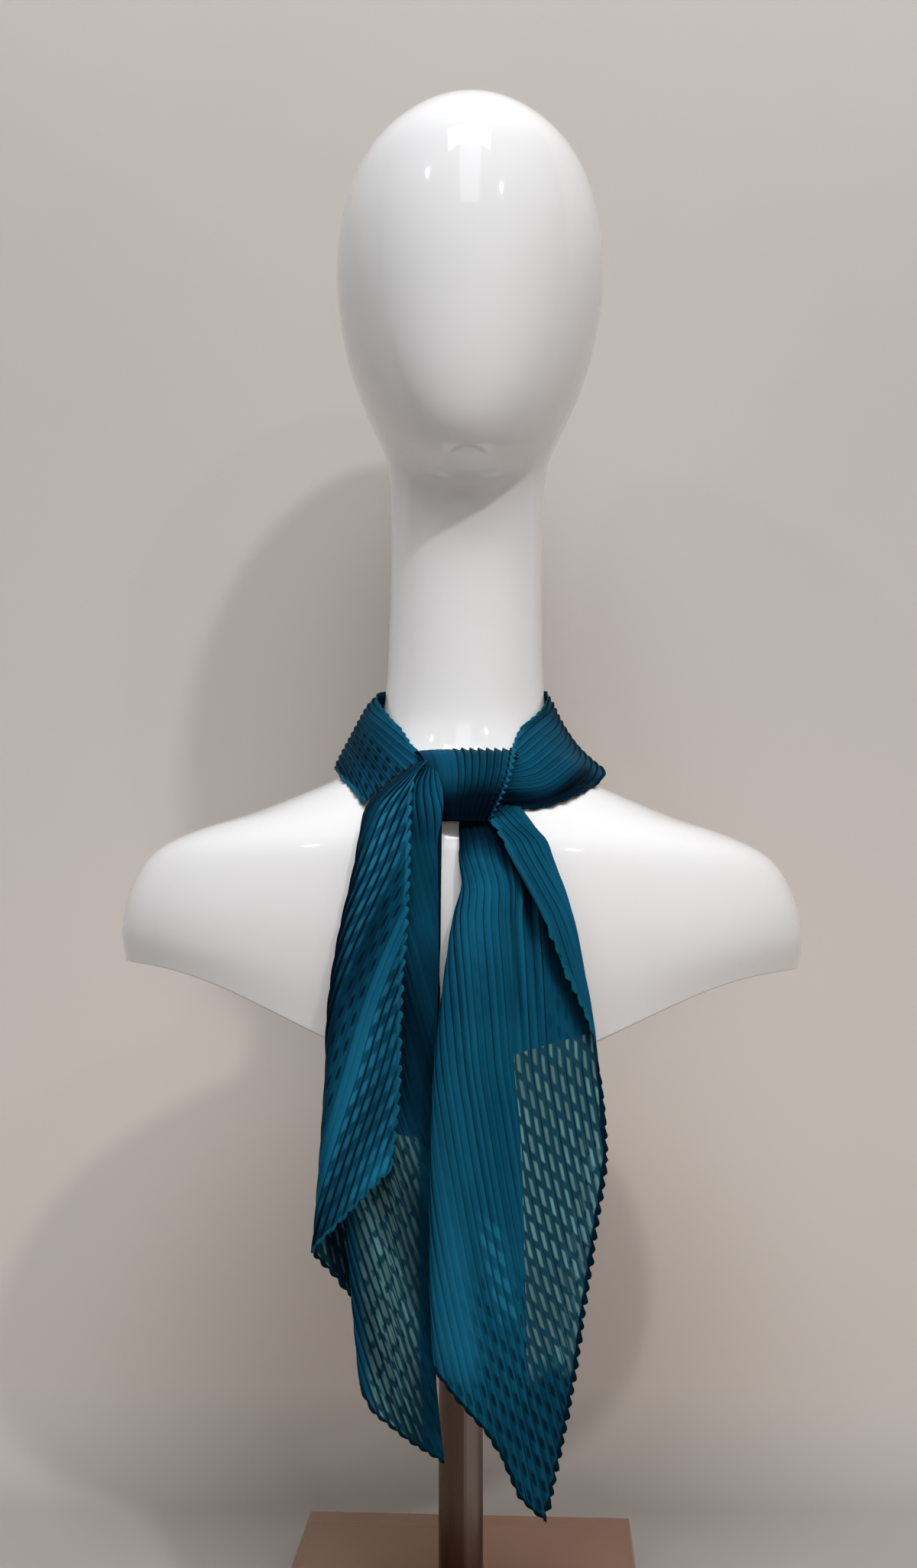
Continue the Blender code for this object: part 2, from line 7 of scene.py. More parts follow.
# %% Load the frame
import math
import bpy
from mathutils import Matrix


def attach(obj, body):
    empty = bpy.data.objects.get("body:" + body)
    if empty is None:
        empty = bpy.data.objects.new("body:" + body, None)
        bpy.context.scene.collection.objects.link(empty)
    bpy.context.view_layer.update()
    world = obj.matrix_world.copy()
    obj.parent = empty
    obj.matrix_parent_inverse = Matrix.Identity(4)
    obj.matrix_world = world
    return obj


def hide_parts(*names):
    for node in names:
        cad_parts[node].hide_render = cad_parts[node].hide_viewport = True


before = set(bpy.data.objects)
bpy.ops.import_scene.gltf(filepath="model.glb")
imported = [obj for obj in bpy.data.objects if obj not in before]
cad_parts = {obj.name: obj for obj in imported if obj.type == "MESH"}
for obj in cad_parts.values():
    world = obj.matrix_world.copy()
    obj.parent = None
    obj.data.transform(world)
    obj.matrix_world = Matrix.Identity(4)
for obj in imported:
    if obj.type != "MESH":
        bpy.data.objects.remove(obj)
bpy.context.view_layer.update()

from types import SimpleNamespace

import bpy
import numpy as np
from mathutils import Vector
from mathutils.bvhtree import BVHTree

MM = 0.001

# %% [markdown]
# ## The camera
# The photograph was taken from a little below the knot, tilted up by under three
# degrees, with the plate's far edge just in view. A portrait frame measures its lens
# along the tall side, so 35 mm on a 36 mm sensor gives the same spread.

# %% Camera
FOCAL_PIXELS, PHOTO_HEIGHT, CAMERA_TILT = 2000, 2053, 2.82

lens = bpy.data.cameras.new("camera")
lens.sensor_width = 36
lens.lens = lens.sensor_width * FOCAL_PIXELS / PHOTO_HEIGHT
camera = bpy.data.objects.new("camera", lens)
camera.location = (-0.0013, -0.879, 0.430)
camera.rotation_euler = (math.pi / 2 + math.radians(CAMERA_TILT), 0, 0)
bpy.context.collection.objects.link(camera)
bpy.context.scene.camera = camera
print("camera:", round(lens.lens, 1), "mm lens, tilted up by", CAMERA_TILT, "degrees")

# %% [markdown]
# ## Sums with node sockets
# A procedural material is mostly arithmetic. Wrapping a socket in a small class lets
# `1 - mask * 2` add the Math nodes by itself, and one method adds any other node.

# %% A socket that can be used in a sum
class Wire:
    """One output socket, with the sums that can be made from it."""

    def __init__(self, nodes, socket):
        self.nodes, self.socket = nodes, socket

    def sum_with(self, operation, *others):
        values = dict(enumerate((self, *others)))
        return self.nodes.node("ShaderNodeMath", {"operation": operation}, values)

    def swapped(self, operation, other):
        return self.nodes.node("ShaderNodeMath", {"operation": operation}, {0: other, 1: self})

    def __add__(self, other):
        return self.sum_with("ADD", other)

    __radd__ = __add__

    def __sub__(self, other):
        return self.sum_with("SUBTRACT", other)

    def __rsub__(self, other):
        return self.swapped("SUBTRACT", other)

    def __mul__(self, other):
        return self.sum_with("MULTIPLY", other)

    def __truediv__(self, other):
        return self.sum_with("DIVIDE", other)

    def __rtruediv__(self, other):
        return self.swapped("DIVIDE", other)

    def step(self, low, high):
        """0 below low, 1 above high and smooth between; low may be above high."""
        settings = {"interpolation_type": "SMOOTHSTEP"}
        values = {"Value": self, "From Min": low, "From Max": high}
        return self.nodes.node("ShaderNodeMapRange", settings, values)

    def floor(self):
        return self.sum_with("FLOOR")

    def part(self):
        """What is left of each whole number."""
        return self.sum_with("FRACT")

    def within(self, low, high, soft):
        """1 between low and high and 0 outside them, with soft edges."""
        return self.step(low - soft, low + soft) * self.step(high + soft, high - soft)


# %% A tree of nodes, and a material
class Nodes:
    """A tree of shader nodes, with one method that adds any of them."""

    def __init__(self, tree):
        self.tree = tree

    def node(self, kind, settings=None, values=None, output=0):
        made = self.tree.nodes.new(kind)
        for key, value in (settings or {}).items():
            if key == "stops":
                self.fill_ramp(made.color_ramp, value)
            else:
                setattr(made, key, value)
        for key, value in (values or {}).items():
            self.feed(made.inputs[key], value)
        return Wire(self, made.outputs[output])

    def fill_ramp(self, ramp, stops):
        while len(ramp.elements) < len(stops):
            ramp.elements.new(1)
        for element, (place, colour) in zip(ramp.elements, stops):
            element.position, element.color = place, (*colour, 1)

    def feed(self, socket, value):
        if isinstance(value, Wire):
            self.tree.links.new(value.socket, socket)
        elif socket.type == "RGBA":
            socket.default_value = (*value[:3], 1)
        else:
            socket.default_value = value

    def mix(self, share, a, b):
        """The colour a, turned to b as share goes from 0 to 1."""
        settings = {"data_type": "RGBA"}
        return self.node("ShaderNodeMix", settings, {0: share, 6: a, 7: b}, output=2)

    def axis(self, vector, number):
        """One number of a vector: 0 is x, 1 is y and 2 is z."""
        return self.node("ShaderNodeSeparateXYZ", None, {0: vector}, output=number)

    def noise(self, scale, detail, stretch=(1, 1, 1)):
        place = self.node("ShaderNodeTexCoord", output="Object")
        place = self.node("ShaderNodeMapping", None, {"Vector": place, "Scale": stretch})
        values = {"Vector": place, "Scale": scale, "Detail": detail}
        return self.node("ShaderNodeTexNoise", None, values)

    def stored(self, name):
        """A value that each point of the mesh carries."""
        return self.node("ShaderNodeAttribute", {"attribute_name": name}, output="Fac")


class Finish(Nodes):
    """A material whose shader's plain values are given by name."""

    def __init__(self, name, **values):
        self.look = bpy.data.materials.new(name)
        self.look.use_nodes = True
        super().__init__(self.look.node_tree)
        self.shader = self.tree.nodes["Principled BSDF"]
        for key, value in values.items():
            self.shader.inputs[key.replace("_", " ")].default_value = value

    def set(self, **wires):
        for key, value in wires.items():
            self.feed(self.shader.inputs[key.replace("_", " ")], value)

    def bump(self, height, depth, strength):
        """Feeds the shader's normal from a height of 0 to 1 that stands for depth in metres."""
        values = {"Height": height, "Distance": depth, "Strength": strength}
        self.set(Normal=self.node("ShaderNodeBump", None, values))


print("helpers for materials are ready")

# %% [markdown]
# ## Floor and light
# A pale sweep stands in for a studio: floor and backdrop in one curved sheet, close
# enough behind the bust to catch its shadow. Most of the light is a wide lamp and a
# glow from above, so undersides fall dark. A small key lamp, kept out of reflections,
# cuts the crisp shadow under the jaw. Two smaller ones leave a spark each on the gloss,
# a box and a band leave the highlights on the brow, and a weak, narrow lamp at floor
# level lifts the plate and the foot of the pole.

# %% Sweep
FLOOR_REACH, BACK_PLACE, BACK_TOP, SWEEP_ROUND = 3.0, 0.215, 2.6, 0.06
BEND_STEPS, BEND_DIMMING = 12, 0.75


def make_sweep():
    bend_start = BACK_PLACE - SWEEP_ROUND
    profile = [(-FLOOR_REACH, 0.0), (-0.3, 0.0), (bend_start, 0.0)]
    for k in range(1, BEND_STEPS):
        turn = math.pi / 2 * k / BEND_STEPS
        back, up = SWEEP_ROUND * math.sin(turn), SWEEP_ROUND * (1 - math.cos(turn))
        profile.append((bend_start + back, up))
    profile += [(BACK_PLACE, SWEEP_ROUND), (BACK_PLACE, BACK_TOP)]
    points = [(x, y, z) for x in (-FLOOR_REACH, FLOOR_REACH) for y, z in profile]
    n = len(profile)
    mesh = bpy.data.meshes.new("sweep")
    mesh.from_pydata(points, [], [(k, k + n, k + n + 1, k + 1) for k in range(n - 1)])
    mesh.shade_smooth()
    sweep = bpy.data.objects.new("sweep", mesh)
    bpy.context.collection.objects.link(sweep)
    return sweep


paper = Finish("sweep_paper", Roughness=0.85, Specular_IOR_Level=0.2)
grain = paper.noise(6, detail=4)
height = paper.axis(paper.node("ShaderNodeTexCoord", output="Object"), 2)
upward = paper.axis(paper.node("ShaderNodeNewGeometry", output="Normal"), 2)
upright_tone = paper.mix(grain, (0.52, 0.481, 0.447), (0.56, 0.521, 0.487))
# painted light: the upright paper turns lighter towards the floor, lifting the shade that falls
# low on it
upright_tone = paper.mix(height.step(0.9, 0.15), upright_tone, (0.68, 0.628, 0.587))
# the bend turns up to the lamps, so its paper is greyer by as much as it catches more light
even_tone = paper.mix(1 / (upward * BEND_DIMMING + 1), (0, 0, 0), upright_tone)
paper.set(
    Base_Color=even_tone,
    Alpha=1 - paper.node("ShaderNodeNewGeometry", output="Backfacing"),
)
sweep = make_sweep()
sweep.data.materials.append(paper.look)
print("sweep:", len(sweep.data.polygons), "strips of paper")


# %% Lamps
WARM, SOFT_WARM, FLOOR_WARM = (1.0, 0.96, 0.92), (1.0, 0.98, 0.96), (1.0, 0.88, 0.78)
COOL, PALE_COOL, SOFT_COOL = (0.88, 0.94, 1.0), (0.94, 0.97, 1.0), (0.95, 0.97, 1.0)
BUST_MIDDLE, PLATE_PLACE = (0, 0, 0.55), (0, 0.2, 0.04)


def lamp(name, towards, far, size, power, colour, tall=None, aim=BUST_MIDDLE, mirrored=True):
    """A square or long lamp, placed by the direction that it shines from."""
    light = bpy.data.lights.new(name, "AREA")
    light.energy, light.color, light.size = power, colour, size
    if tall:
        light.shape, light.size_y = "RECTANGLE", tall
    holder = bpy.data.objects.new(name, light)
    towards = Vector(towards).normalized()
    holder.location = Vector(aim) + towards * far
    holder.rotation_euler = towards.to_track_quat("Z", "Y").to_euler()
    holder.visible_glossy = mirrored
    bpy.context.collection.objects.link(holder)
    print(name, "shines with", power, "W")
    return holder


lamp("key", (0.28, -0.63, 0.725), far=2.0, size=0.09, power=11, colour=WARM, mirrored=False)
lamp("right_spark", (0.42, -0.69, 0.59), far=1.9, size=0.055, power=1.5, colour=SOFT_WARM)
lamp("left_spark", (-0.55, -0.52, 0.68), far=1.9, size=0.055, power=1.8, colour=SOFT_COOL)
lamp("brow_box", (-0.02, -0.56, 0.83), far=1.9, size=1.1, tall=0.4, power=9, colour=COOL)
lamp("brow_band", (-0.01, -0.72, 0.69), far=1.9, size=0.55, tall=0.75, power=1.7, colour=COOL)
lamp("overhead", (0, -0.42, 0.91), far=3, size=1.3, power=33, colour=PALE_COOL, mirrored=False)
low_fill = lamp(
    "low_fill", (0.05, -1.0, 0.12), far=2.0, size=0.9, power=0.40, colour=FLOOR_WARM,
    aim=PLATE_PLACE, mirrored=False,
)
low_fill.data.spread = math.radians(34)

# %% Glow from above
GLOW_FROM_RIGHT = (0.48, 0.44, 0.41)
GLOW = [
    (0.0, (0.03, 0.024, 0.02)),
    (0.48, (0.05, 0.042, 0.038)),
    (0.68, (0.15, 0.146, 0.142)),
    (1.0, (0.66, 0.67, 0.69)),
]

world = bpy.data.worlds.new("studio")
world.use_nodes = True
sky = Nodes(world.node_tree)
direction = sky.node("ShaderNodeTexCoord", output="Generated")
rising, rightward = sky.axis(direction, 2), sky.axis(direction, 0)
glow = sky.node("ShaderNodeValToRGB", {"stops": GLOW}, {0: rising * 0.5 + 0.5})
from_right = rightward.step(0.1, 0.9) * rising.step(0.6, 0.1) * 0.4
glow = sky.mix(from_right, glow, GLOW_FROM_RIGHT)
sky.feed(world.node_tree.nodes["Background"].inputs["Color"], glow)
bpy.context.scene.world = world
bpy.context.scene.view_settings.view_transform = "Standard"
print("the glow has", len(GLOW), "tones from below to above")

# %% [markdown]
# ## The stand
# The plate is cast acrylic with polished sides and faint scuffs on top; its warm brown is
# painted, standing in for the wooden stool seen through the clear plate. The pole is a drawn
# steel tube, so its grain runs along it and smears the reflections into long bands; its warm
# brown cast and the lighter band down its right side are painted reflection.

# %% Acrylic and steel
acrylic = Finish("clear_acrylic", Transmission_Weight=0.72, IOR=1.49)
scuff = acrylic.noise(900, detail=2, stretch=(1, 0.08, 1))
smear = acrylic.noise(14, detail=4)
acrylic.set(
    # painted: the warm brown stands in for the wooden stool seen through the clear plate; smears
    # vary it at random
    Base_Color=acrylic.mix(smear, (0.58, 0.35, 0.24), (0.74, 0.48, 0.36)),
    Roughness=smear.step(0.45, 0.8) * 0.12 + scuff.step(0.6, 0.85) * 0.1 + 0.03,
)
steel = Finish("brushed_steel", Metallic=1.0, Anisotropic=0.6)
draw_lines = steel.noise(1500, detail=3, stretch=(1, 1, 0.004))
stain = steel.noise(22, detail=4, stretch=(1, 1, 0.3))
sideways = steel.axis(steel.node("ShaderNodeNewGeometry", output="Normal"), 0)
# random stains, with a warm brown cast that is painted reflection of brown surroundings
stain_and_painted_reflection = steel.mix(stain, (0.085, 0.055, 0.040), (0.14, 0.092, 0.068))
steel.set(
    # painted reflection: a lighter band down the side of the tube that faces right
    Base_Color=steel.mix(sideways.within(0.18, 0.80, 0.16), stain_and_painted_reflection, (0.26, 0.215, 0.19)),
    Roughness=draw_lines * 0.16 + stain * 0.1 + 0.16,
)
steel.bump(draw_lines, depth=0.00002, strength=0.5)


def refinish(node, finish):
    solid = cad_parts[node]
    solid.material_slots[0].material = finish.look
    print(node, "now wears", finish.look.name)


refinish("base_plate", acrylic)
refinish("pole", steel)

# %% [markdown]
# ## The bust
# The head, neck and shoulders are one glossy moulding with no face. The solid has a
# table of rings, each with its own height at the sides, front and back; reading the same
# table on a smooth curve at four times as many places gives the lacquered surface
# without facets.

# %% Tables that read as smooth curves
class Table:
    """Named columns against the first one, read anywhere on a smooth curve."""

    def __init__(self, names, rows):
        self.names = names.split()[1:]
        rows = np.array(sorted(rows), float)
        self.keys, self.values = rows[:, 0], rows[:, 1:]
        steps = np.diff(self.values, axis=0) / np.diff(self.keys)[:, None]
        inner = (self.values[2:] - self.values[:-2]) / (self.keys[2:] - self.keys[:-2])[:, None]
        self.slopes = np.vstack([steps[:1], inner, steps[-1:]])

    def at(self, place):
        place = np.asarray(place, float)
        k = np.clip(np.searchsorted(self.keys, place) - 1, 0, len(self.keys) - 2)
        span = (self.keys[k + 1] - self.keys[k])[..., None]
        t = (place - self.keys[k])[..., None] / span
        a, b = self.values[k], self.values[k + 1]
        bent = (
            a * (2 * t**3 - 3 * t**2 + 1)
            + self.slopes[k] * span * (t**3 - 2 * t**2 + t)
            + b * (3 * t**2 - 2 * t**3)
            + self.slopes[k + 1] * span * (t**3 - t**2)
        )
        values = np.where((t < 0) | (t > 1), a + (b - a) * t, bent)
        return SimpleNamespace(**{name: values[..., n] for n, name in enumerate(self.names)})


BUST_RINGS = Table("s half side_z front front_z back back_z", [
    (0, 191.5, 371, -93, 319.5, 80, 311), (1, 193.5, 389, -99, 366.5, 88, 360),
    (2, 189.0, 411, -99, 402, 90, 400), (3, 176.0, 432, -94, 434, 86, 434),
    (4, 151.5, 445, -86, 449, 80, 451), (5, 123.0, 454, -77, 461, 73, 465),
    (6, 93.0, 466, -68, 472, 65, 479), (7, 70.5, 476.5, -59, 483, 57, 492),
    (8, 54.0, 492, -52, 499, 51.5, 506), (9, 46.0, 520, -48, 522, 48, 528),
    (10, 43.7, 585, -46, 585, 46, 590), (11, 44.5, 640, -47, 634, 47, 652),
    (12, 47.0, 660, -60, 642, 56, 668), (13, 51.7, 672, -78, 650, 68, 684),
    (14, 60.8, 691.5, -89, 667.5, 81, 703.5), (15, 69.5, 715, -95.5, 698, 89.5, 725),
    (16, 75.8, 744, -99.5, 738, 93.5, 750), (17, 77.8, 770, -100, 770, 93.7, 771),
    (18, 75.9, 794, -97.6, 797, 91.6, 794), (19, 70.2, 816, -91.6, 822, 86.1, 818),
    (20, 59.5, 835, -78.1, 840, 74.2, 837), (21, 41.4, 851.5, -55.5, 854.5, 52.6, 852.5),
    (22, 18.6, 862.5, -25.3, 863.5, 23.6, 863),
])
BUST_TOP, RIM_HEIGHT, BUST_LEAN = 866.7, 330.0, math.radians(0.7)
RIM_SWEEP, SWEPT_RINGS, UNDER_ARCH = 1.85, 2.95, 10.0
RIM_ROUND, UNDER_SHARES = 0.04, [0.3, 0.6, 0.85, 0.96, 0.993]
AROUND, PER_RING = 112, 4
print("bust:", len(BUST_RINGS.keys), "rings and a crown at", BUST_TOP, "mm")


# %% The bust's surface
def mesh_object(name, points, faces, finish):
    mesh = bpy.data.meshes.new(name)
    mesh.from_pydata([tuple(p) for p in points], [], faces)
    mesh.materials.append(finish.look)
    mesh.shade_smooth()
    thing = bpy.data.objects.new(name, mesh)
    bpy.context.collection.objects.link(thing)
    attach(thing, "root")
    return thing


def bust_ring(station, share, angle):
    """The points of one ring; a share under 1 spans the underside from front to back."""
    ring = BUST_RINGS.at(station)
    across, along = np.cos(angle) * share, np.sin(angle) * share
    # the rim keeps the shoulder's height for a while and drops late, towards the front
    sweep = 1 + RIM_SWEEP * max(0, 1 - station / SWEPT_RINGS)
    reach = np.sqrt(np.maximum(1 - across**2, 1e-12))
    drop = reach ** (2 * sweep)
    front = ring.side_z + (ring.front_z - ring.side_z) * drop
    back = ring.side_z + (ring.back_z - ring.side_z) * drop
    behind = np.clip(0.5 + 0.5 * along / reach, 0, 1)
    height = front + (back - front) * behind + UNDER_ARCH * (1 - share**2)
    depth = np.where(along > 0, ring.back, -ring.front)
    return np.stack([ring.half * across, along * depth, height], -1)


def make_bust(finish):
    top = int(BUST_RINGS.keys[-1])
    stations = np.insert(np.linspace(0, top, top * PER_RING + 1), 1, RIM_ROUND)
    angle = np.linspace(0, 2 * math.pi, AROUND, endpoint=False)
    places = [(0.0, share) for share in UNDER_SHARES] + [(station, 1.0) for station in stations]
    ends = [bust_ring(0.0, 0.0, angle[:1]), [(0, 0, BUST_TOP)]]
    points = np.vstack([bust_ring(*place, angle) for place in places] + ends)
    cos, sin = math.cos(BUST_LEAN), math.sin(BUST_LEAN)
    turn = np.array([[cos, 0, sin], [0, 1, 0], [-sin, 0, cos]])
    pivot = np.array([0, 0, RIM_HEIGHT])
    points = (points - pivot) @ turn.T + pivot
    starts = [AROUND * ring for ring in range(len(places))]
    sides = [(k, (k + 1) % AROUND) for k in range(AROUND)]
    faces = [(a + k, a + n, b + n, b + k) for a, b in zip(starts, starts[1:]) for k, n in sides]
    low, high, last = len(places) * AROUND, len(places) * AROUND + 1, starts[-1]
    faces += [(n, k, low) for k, n in sides]
    faces += [(last + k, last + n, high) for k, n in sides]
    return mesh_object("bust_shell", points * MM, faces, finish)


lacquer = Finish("white_gloss", Coat_Weight=0.5, Coat_Roughness=0.02, IOR=1.5)
orange_peel = lacquer.noise(55, detail=2)
dust = lacquer.noise(7, detail=5)
lacquer.set(
    Base_Color=lacquer.mix(dust, (0.80, 0.795, 0.80), (0.85, 0.845, 0.85)),
    Roughness=dust * 0.06 + 0.04,
)
lacquer.bump(orange_peel, depth=0.00025, strength=0.25)
bust = make_bust(lacquer)
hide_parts("bust")
print("bust:", len(bust.data.polygons), "faces")

# %% [markdown]
# ## Pleated cloth
# The scarf is one cloth that was pressed into knife pleats before it was tied. Every
# point of it has a flat address: q counts pleats across it and v runs along them. A
# place function folds that address into space, and the pleats are then raised on it:
# each climbs slowly, tips over a sharp edge and drops back under the next one.

# %% The shape of one pleat
PITCH = 3.6  # millimetres from pleat to pleat
COLUMNS = np.array([0.0, 0.22, 0.46, 0.66, 0.78, 0.84, 0.92])  # where each pleat is cut
CLIMB, DROP = 0.82, 0.18  # shares of a pleat
PLEAT_DEPTH, OVERHANG = 0.72, 0.10
MOST_FOLD, OPEN_SHARES = 1.4, (0.15, 1.1)  # how sharp a pleat gets, shut or drawn open
TOOTH_SPACING, TOOTH_FADE, TOOTH_ROOM = 6.8, 5, 8
CLOTH_WALL = 0.25
WELL_LINED = 9.0  # as far inside a backed zone as makes a difference


def knife(q):
    """Height from -1 to 1 over one pleat: a long climb and a short drop."""
    u = q - np.floor(q)
    return np.where(u < CLIMB, u / CLIMB, (1 - u) / DROP) * 2 - 1


def waver(q, v, seed=0.0):
    """A slow, even wandering between -1 and 1 over the flat cloth, the same on each run."""
    a = np.sin(0.61 * q + 0.013 * v + 1.3 + seed) * np.sin(0.23 * q - 0.021 * v + 0.4 + 2 * seed)
    b = np.sin(1.37 * q - 0.017 * v + 2.1 * seed) * np.sin(0.9 + 0.043 * v + seed)
    return 0.65 * a + 0.35 * b


def uneven(q):
    """A value from 0 to 1 that differs from one pleat to the next."""
    return 0.5 + 0.5 * np.sin(2.4 * np.floor(q) + 1.1) * np.cos(0.9 * np.floor(q))


# %% Paths across a section
def along_path(q, knots):
    """The place on a folded section, from knots given as (q, x, y) in the order of q."""
    x, y = knots[0][1] + 0 * q, knots[0][2] + 0 * q
    for n, (a, b) in enumerate(zip(knots, knots[1:])):
        share = (q - a[0]) / (b[0] - a[0])
        share = np.clip(share, -np.inf if n == 0 else 0, np.inf if n == len(knots) - 2 else 1)
        x = x + (b[1] - a[1]) * share
        y = y + (b[2] - a[2]) * share
    return x, y


def rounded(place, width=0.7):
    """The same fold with its corners rounded, by averaging it over a little of the cloth."""
    steps = np.linspace(-width, width, 5)
    return lambda q, v: sum(place(q + step, v) for step in steps) / len(steps)


def arc(q, start, end):
    """A bow that is 0 at both ends and 1 in the middle."""
    return np.sin(np.clip((q - start) / (end - start), 0, 1) * math.pi)


def ease(value, low, high):
    """0 below low, 1 above high and smooth between; low may be above high."""
    t = np.clip((value - low) / (high - low), 0, 1)
    return t * t * (3 - 2 * t)


# %% From flat cloth to mesh
CLEAR_OF_BUST, NEAR_BUST = 1.7 * MM, 0.012
bust_tree = BVHTree.FromPolygons(
    [v.co for v in bust.data.vertices], [p.vertices for p in bust.data.polygons]
)


def clear_of_bust(points):
    """Moves what would lie in or against the bust out to where it just clears it."""
    moved = points.copy()
    for k, point in enumerate(points):
        near, normal, _, _ = bust_tree.find_nearest(Vector(point) * MM, NEAR_BUST)
        if near is None:
            continue
        away = Vector(point) * MM - near
        inside = away.dot(normal) < -0.7 * away.length
        if inside or away.length < CLEAR_OF_BUST:
            direction = normal if inside or away.length < 1e-6 else away.normalized()
            moved[k] = (near + direction * CLEAR_OF_BUST) / MM
    return moved


def distance_to(line, q, v):
    """How far each flat point lies from a line of (q, v) corners, in millimetres."""
    points = np.stack([q * PITCH, v], -1)
    best = np.full(q.shape, 1e3)
    corners = np.array([(a * PITCH, b) for a, b in line])
    for a, b in zip(corners, corners[1:]):
        run = b - a
        t = np.clip(((points - a) @ run) / (run @ run), 0, 1)
        best = np.minimum(best, np.linalg.norm(points - (a + t[..., None] * run), axis=-1))
    return best


def teeth_along(q, edge, size):
    """Moves an edge square to itself, in and out: one tooth to a pleat, more if it is steep."""
    slope = np.gradient(edge, q)
    length = np.hypot(slope, PITCH)
    teeth = np.diff(q) * np.maximum(length[1:] / TOOTH_SPACING, 1)
    phase = np.concatenate([[0], np.cumsum(teeth)])
    wave = size * (2 * np.abs(np.sin((phase + 0.1) * math.pi)) ** 0.8 - 1)
    return wave * slope / length / PITCH, wave * PITCH / length


def finer(q, edges, least=1.6, most=12, closest=0.04):
    """Adds columns where an edge runs steeply along the pleats, so that its teeth stay round."""
    for _ in range(3):
        steps = np.max([np.abs(np.diff(np.interp(q, *zip(*edge)))) for edge in edges], axis=0)
        far = (steps > least) & (np.diff(q) > closest) & (steps < most)
        q = np.sort(np.concatenate([q, (q[:-1] + q[1:])[far] / 2]))
    return q


def pleated_cloth(name, low, high, place, rows, hems, looks, solid, teeth=(None, None)):
    """One cloth between two lines of (q, v) corners, folded by place, pleated and thickened.

    looks gives, for flat points, how sharp the pleats are (fold), how far the woven dashes
    show as painted highlights, above 0, or painted shade, below 0 (gleam), how much painted
    light and shade, with some random mottling, the cloth gets (tone), how far inside a backed
    zone it lies (lined), where a second row of dashes shows (double) and how light its
    hem is (rim). solid names the nodes that the cloth stands for.
    """
    first, last = low[0][0], low[-1][0]
    q = (np.arange(math.floor(first), math.ceil(last))[:, None] + COLUMNS).ravel()
    q = q[(q > first + 0.05) & (q < last - 0.05)]
    q = finer(np.concatenate([[first], q, [last]]), (low, high))
    bottom, top = np.interp(q, *zip(*low)), np.interp(q, *zip(*high))
    tooth_low, tooth_high = (np.interp(q, *zip(*t)) if t else 0 * q for t in teeth)
    room = np.clip((top - bottom) / TOOTH_ROOM, 0, 1)
    low_q, low_v = teeth_along(q, bottom, tooth_low * room)
    high_q, high_v = teeth_along(q, top, tooth_high * room)
    share = np.linspace(0, 1, rows + 1)
    bottom, top = bottom - low_v, top + high_v
    v = bottom[:, None] + (top - bottom)[:, None] * share
    from_low = np.exp((bottom[:, None] - v) / TOOTH_FADE)
    from_high = np.exp((v - top[:, None]) / TOOTH_FADE)
    q = q[:, None] + low_q[:, None] * from_low - high_q[:, None] * from_high
    q, v = q.ravel(), v.ravel()
    middle = place(q, v)
    across = place(q + 0.5, v) - place(q - 0.5, v)
    along = place(q, v + 1.5) - place(q, v - 1.5)
    out = np.cross(across, along)
    out /= np.linalg.norm(out, axis=1)[:, None] + 1e-9
    pitch = np.linalg.norm(across, axis=1)
    look = {"double": 0.0, "rim": 0.0} | looks(q, v)
    strength = np.clip(look["fold"], 0, MOST_FOLD) * np.clip(pitch / PITCH, *OPEN_SHARES)
    middle = clear_of_bust(middle)
    rise = (knife(q) * PLEAT_DEPTH * strength)[:, None] * out
    lean = (np.clip((knife(q) + 1) / 2, 0, 1) ** 2 * OVERHANG * strength)[:, None] * across
    points = middle + rise + lean
    wide = rows + 1
    columns = len(points) // wide
    faces = [
        (c * wide + r, (c + 1) * wide + r, (c + 1) * wide + r + 1, c * wide + r + 1)
        for c in range(columns - 1)
        for r in range(rows)
    ]
    cloth = mesh_object(name, points * MM, faces, satin)
    hem = np.min([distance_to(line, q, v) for line in hems], axis=0)
    for key, values in (look | {"pleat": q, "run": v, "hem": hem}).items():
        store = cloth.data.attributes.new(key, "FLOAT", "POINT")
        store.data.foreach_set("value", (values + 0 * q).astype(np.float32))
    shell = cloth.modifiers.new("cloth", "SOLIDIFY")
    shell.thickness, shell.offset = CLOTH_WALL * MM, 0
    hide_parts(*solid)
    print(name, len(faces), "faces,", round(float(q.max() - q.min()), 1), "pleats")
    return cloth


# %% [markdown]
# ## The cloth's finish
# A satin ground with short sheer dashes woven along each pleat, one column to a pleat
# and each column about a third of a step on from the last. Where one layer hangs free
# the dashes let a little of the background through, and their grey-green, with the lighter
# ground round them, is painted light from behind. Where a second layer lies behind, they
# show only as darker marks of painted shade or brighter ones of painted highlight. Pleat
# grooves get painted shade and crests a painted highlight, and a stored value paints
# light and shade over each piece. The hem is dense and has no dashes.

# %% Satin
DASH_REPEAT, DASH_STAGGER, DASH_SLANT = 13.4, 0.37, 0.30
TEAL_DEEP, TEAL_LIT = (0.0026, 0.046, 0.088), (0.0052, 0.082, 0.150)
# painted shade for the pleats' grooves and for shaded cloth, and a painted highlight for the
# pleats' crests
VALLEY_SHADE, CREST_HIGHLIGHT = (0.0012, 0.007, 0.016), (0.010, 0.140, 0.235)
# a painted highlight for the dashes, also the colour that painted light lifts cloth towards, and
# painted shade: a shaded layer seen through a dash
DASH_HIGHLIGHT, DASH_SHADED = (0.016, 0.200, 0.350), (0.0008, 0.010, 0.022)
# painted light from behind: the lighter ground and grey-green dashes where one layer hangs free;
# the alpha lets only a little real background through
SHEER_GROUND = (0.012, 0.064, 0.100)
SHEER_DASH, SHEER_DASH_LIT = (0.120, 0.260, 0.265), (0.190, 0.450, 0.490)
HEM_DARK, HEM_LIGHT = (0.0008, 0.014, 0.028), (0.007, 0.098, 0.168)
SATIN_TINT = (0.05, 0.50, 0.80, 1)
WEFT_PER_MM = 14.0  # radians of the woven ripple


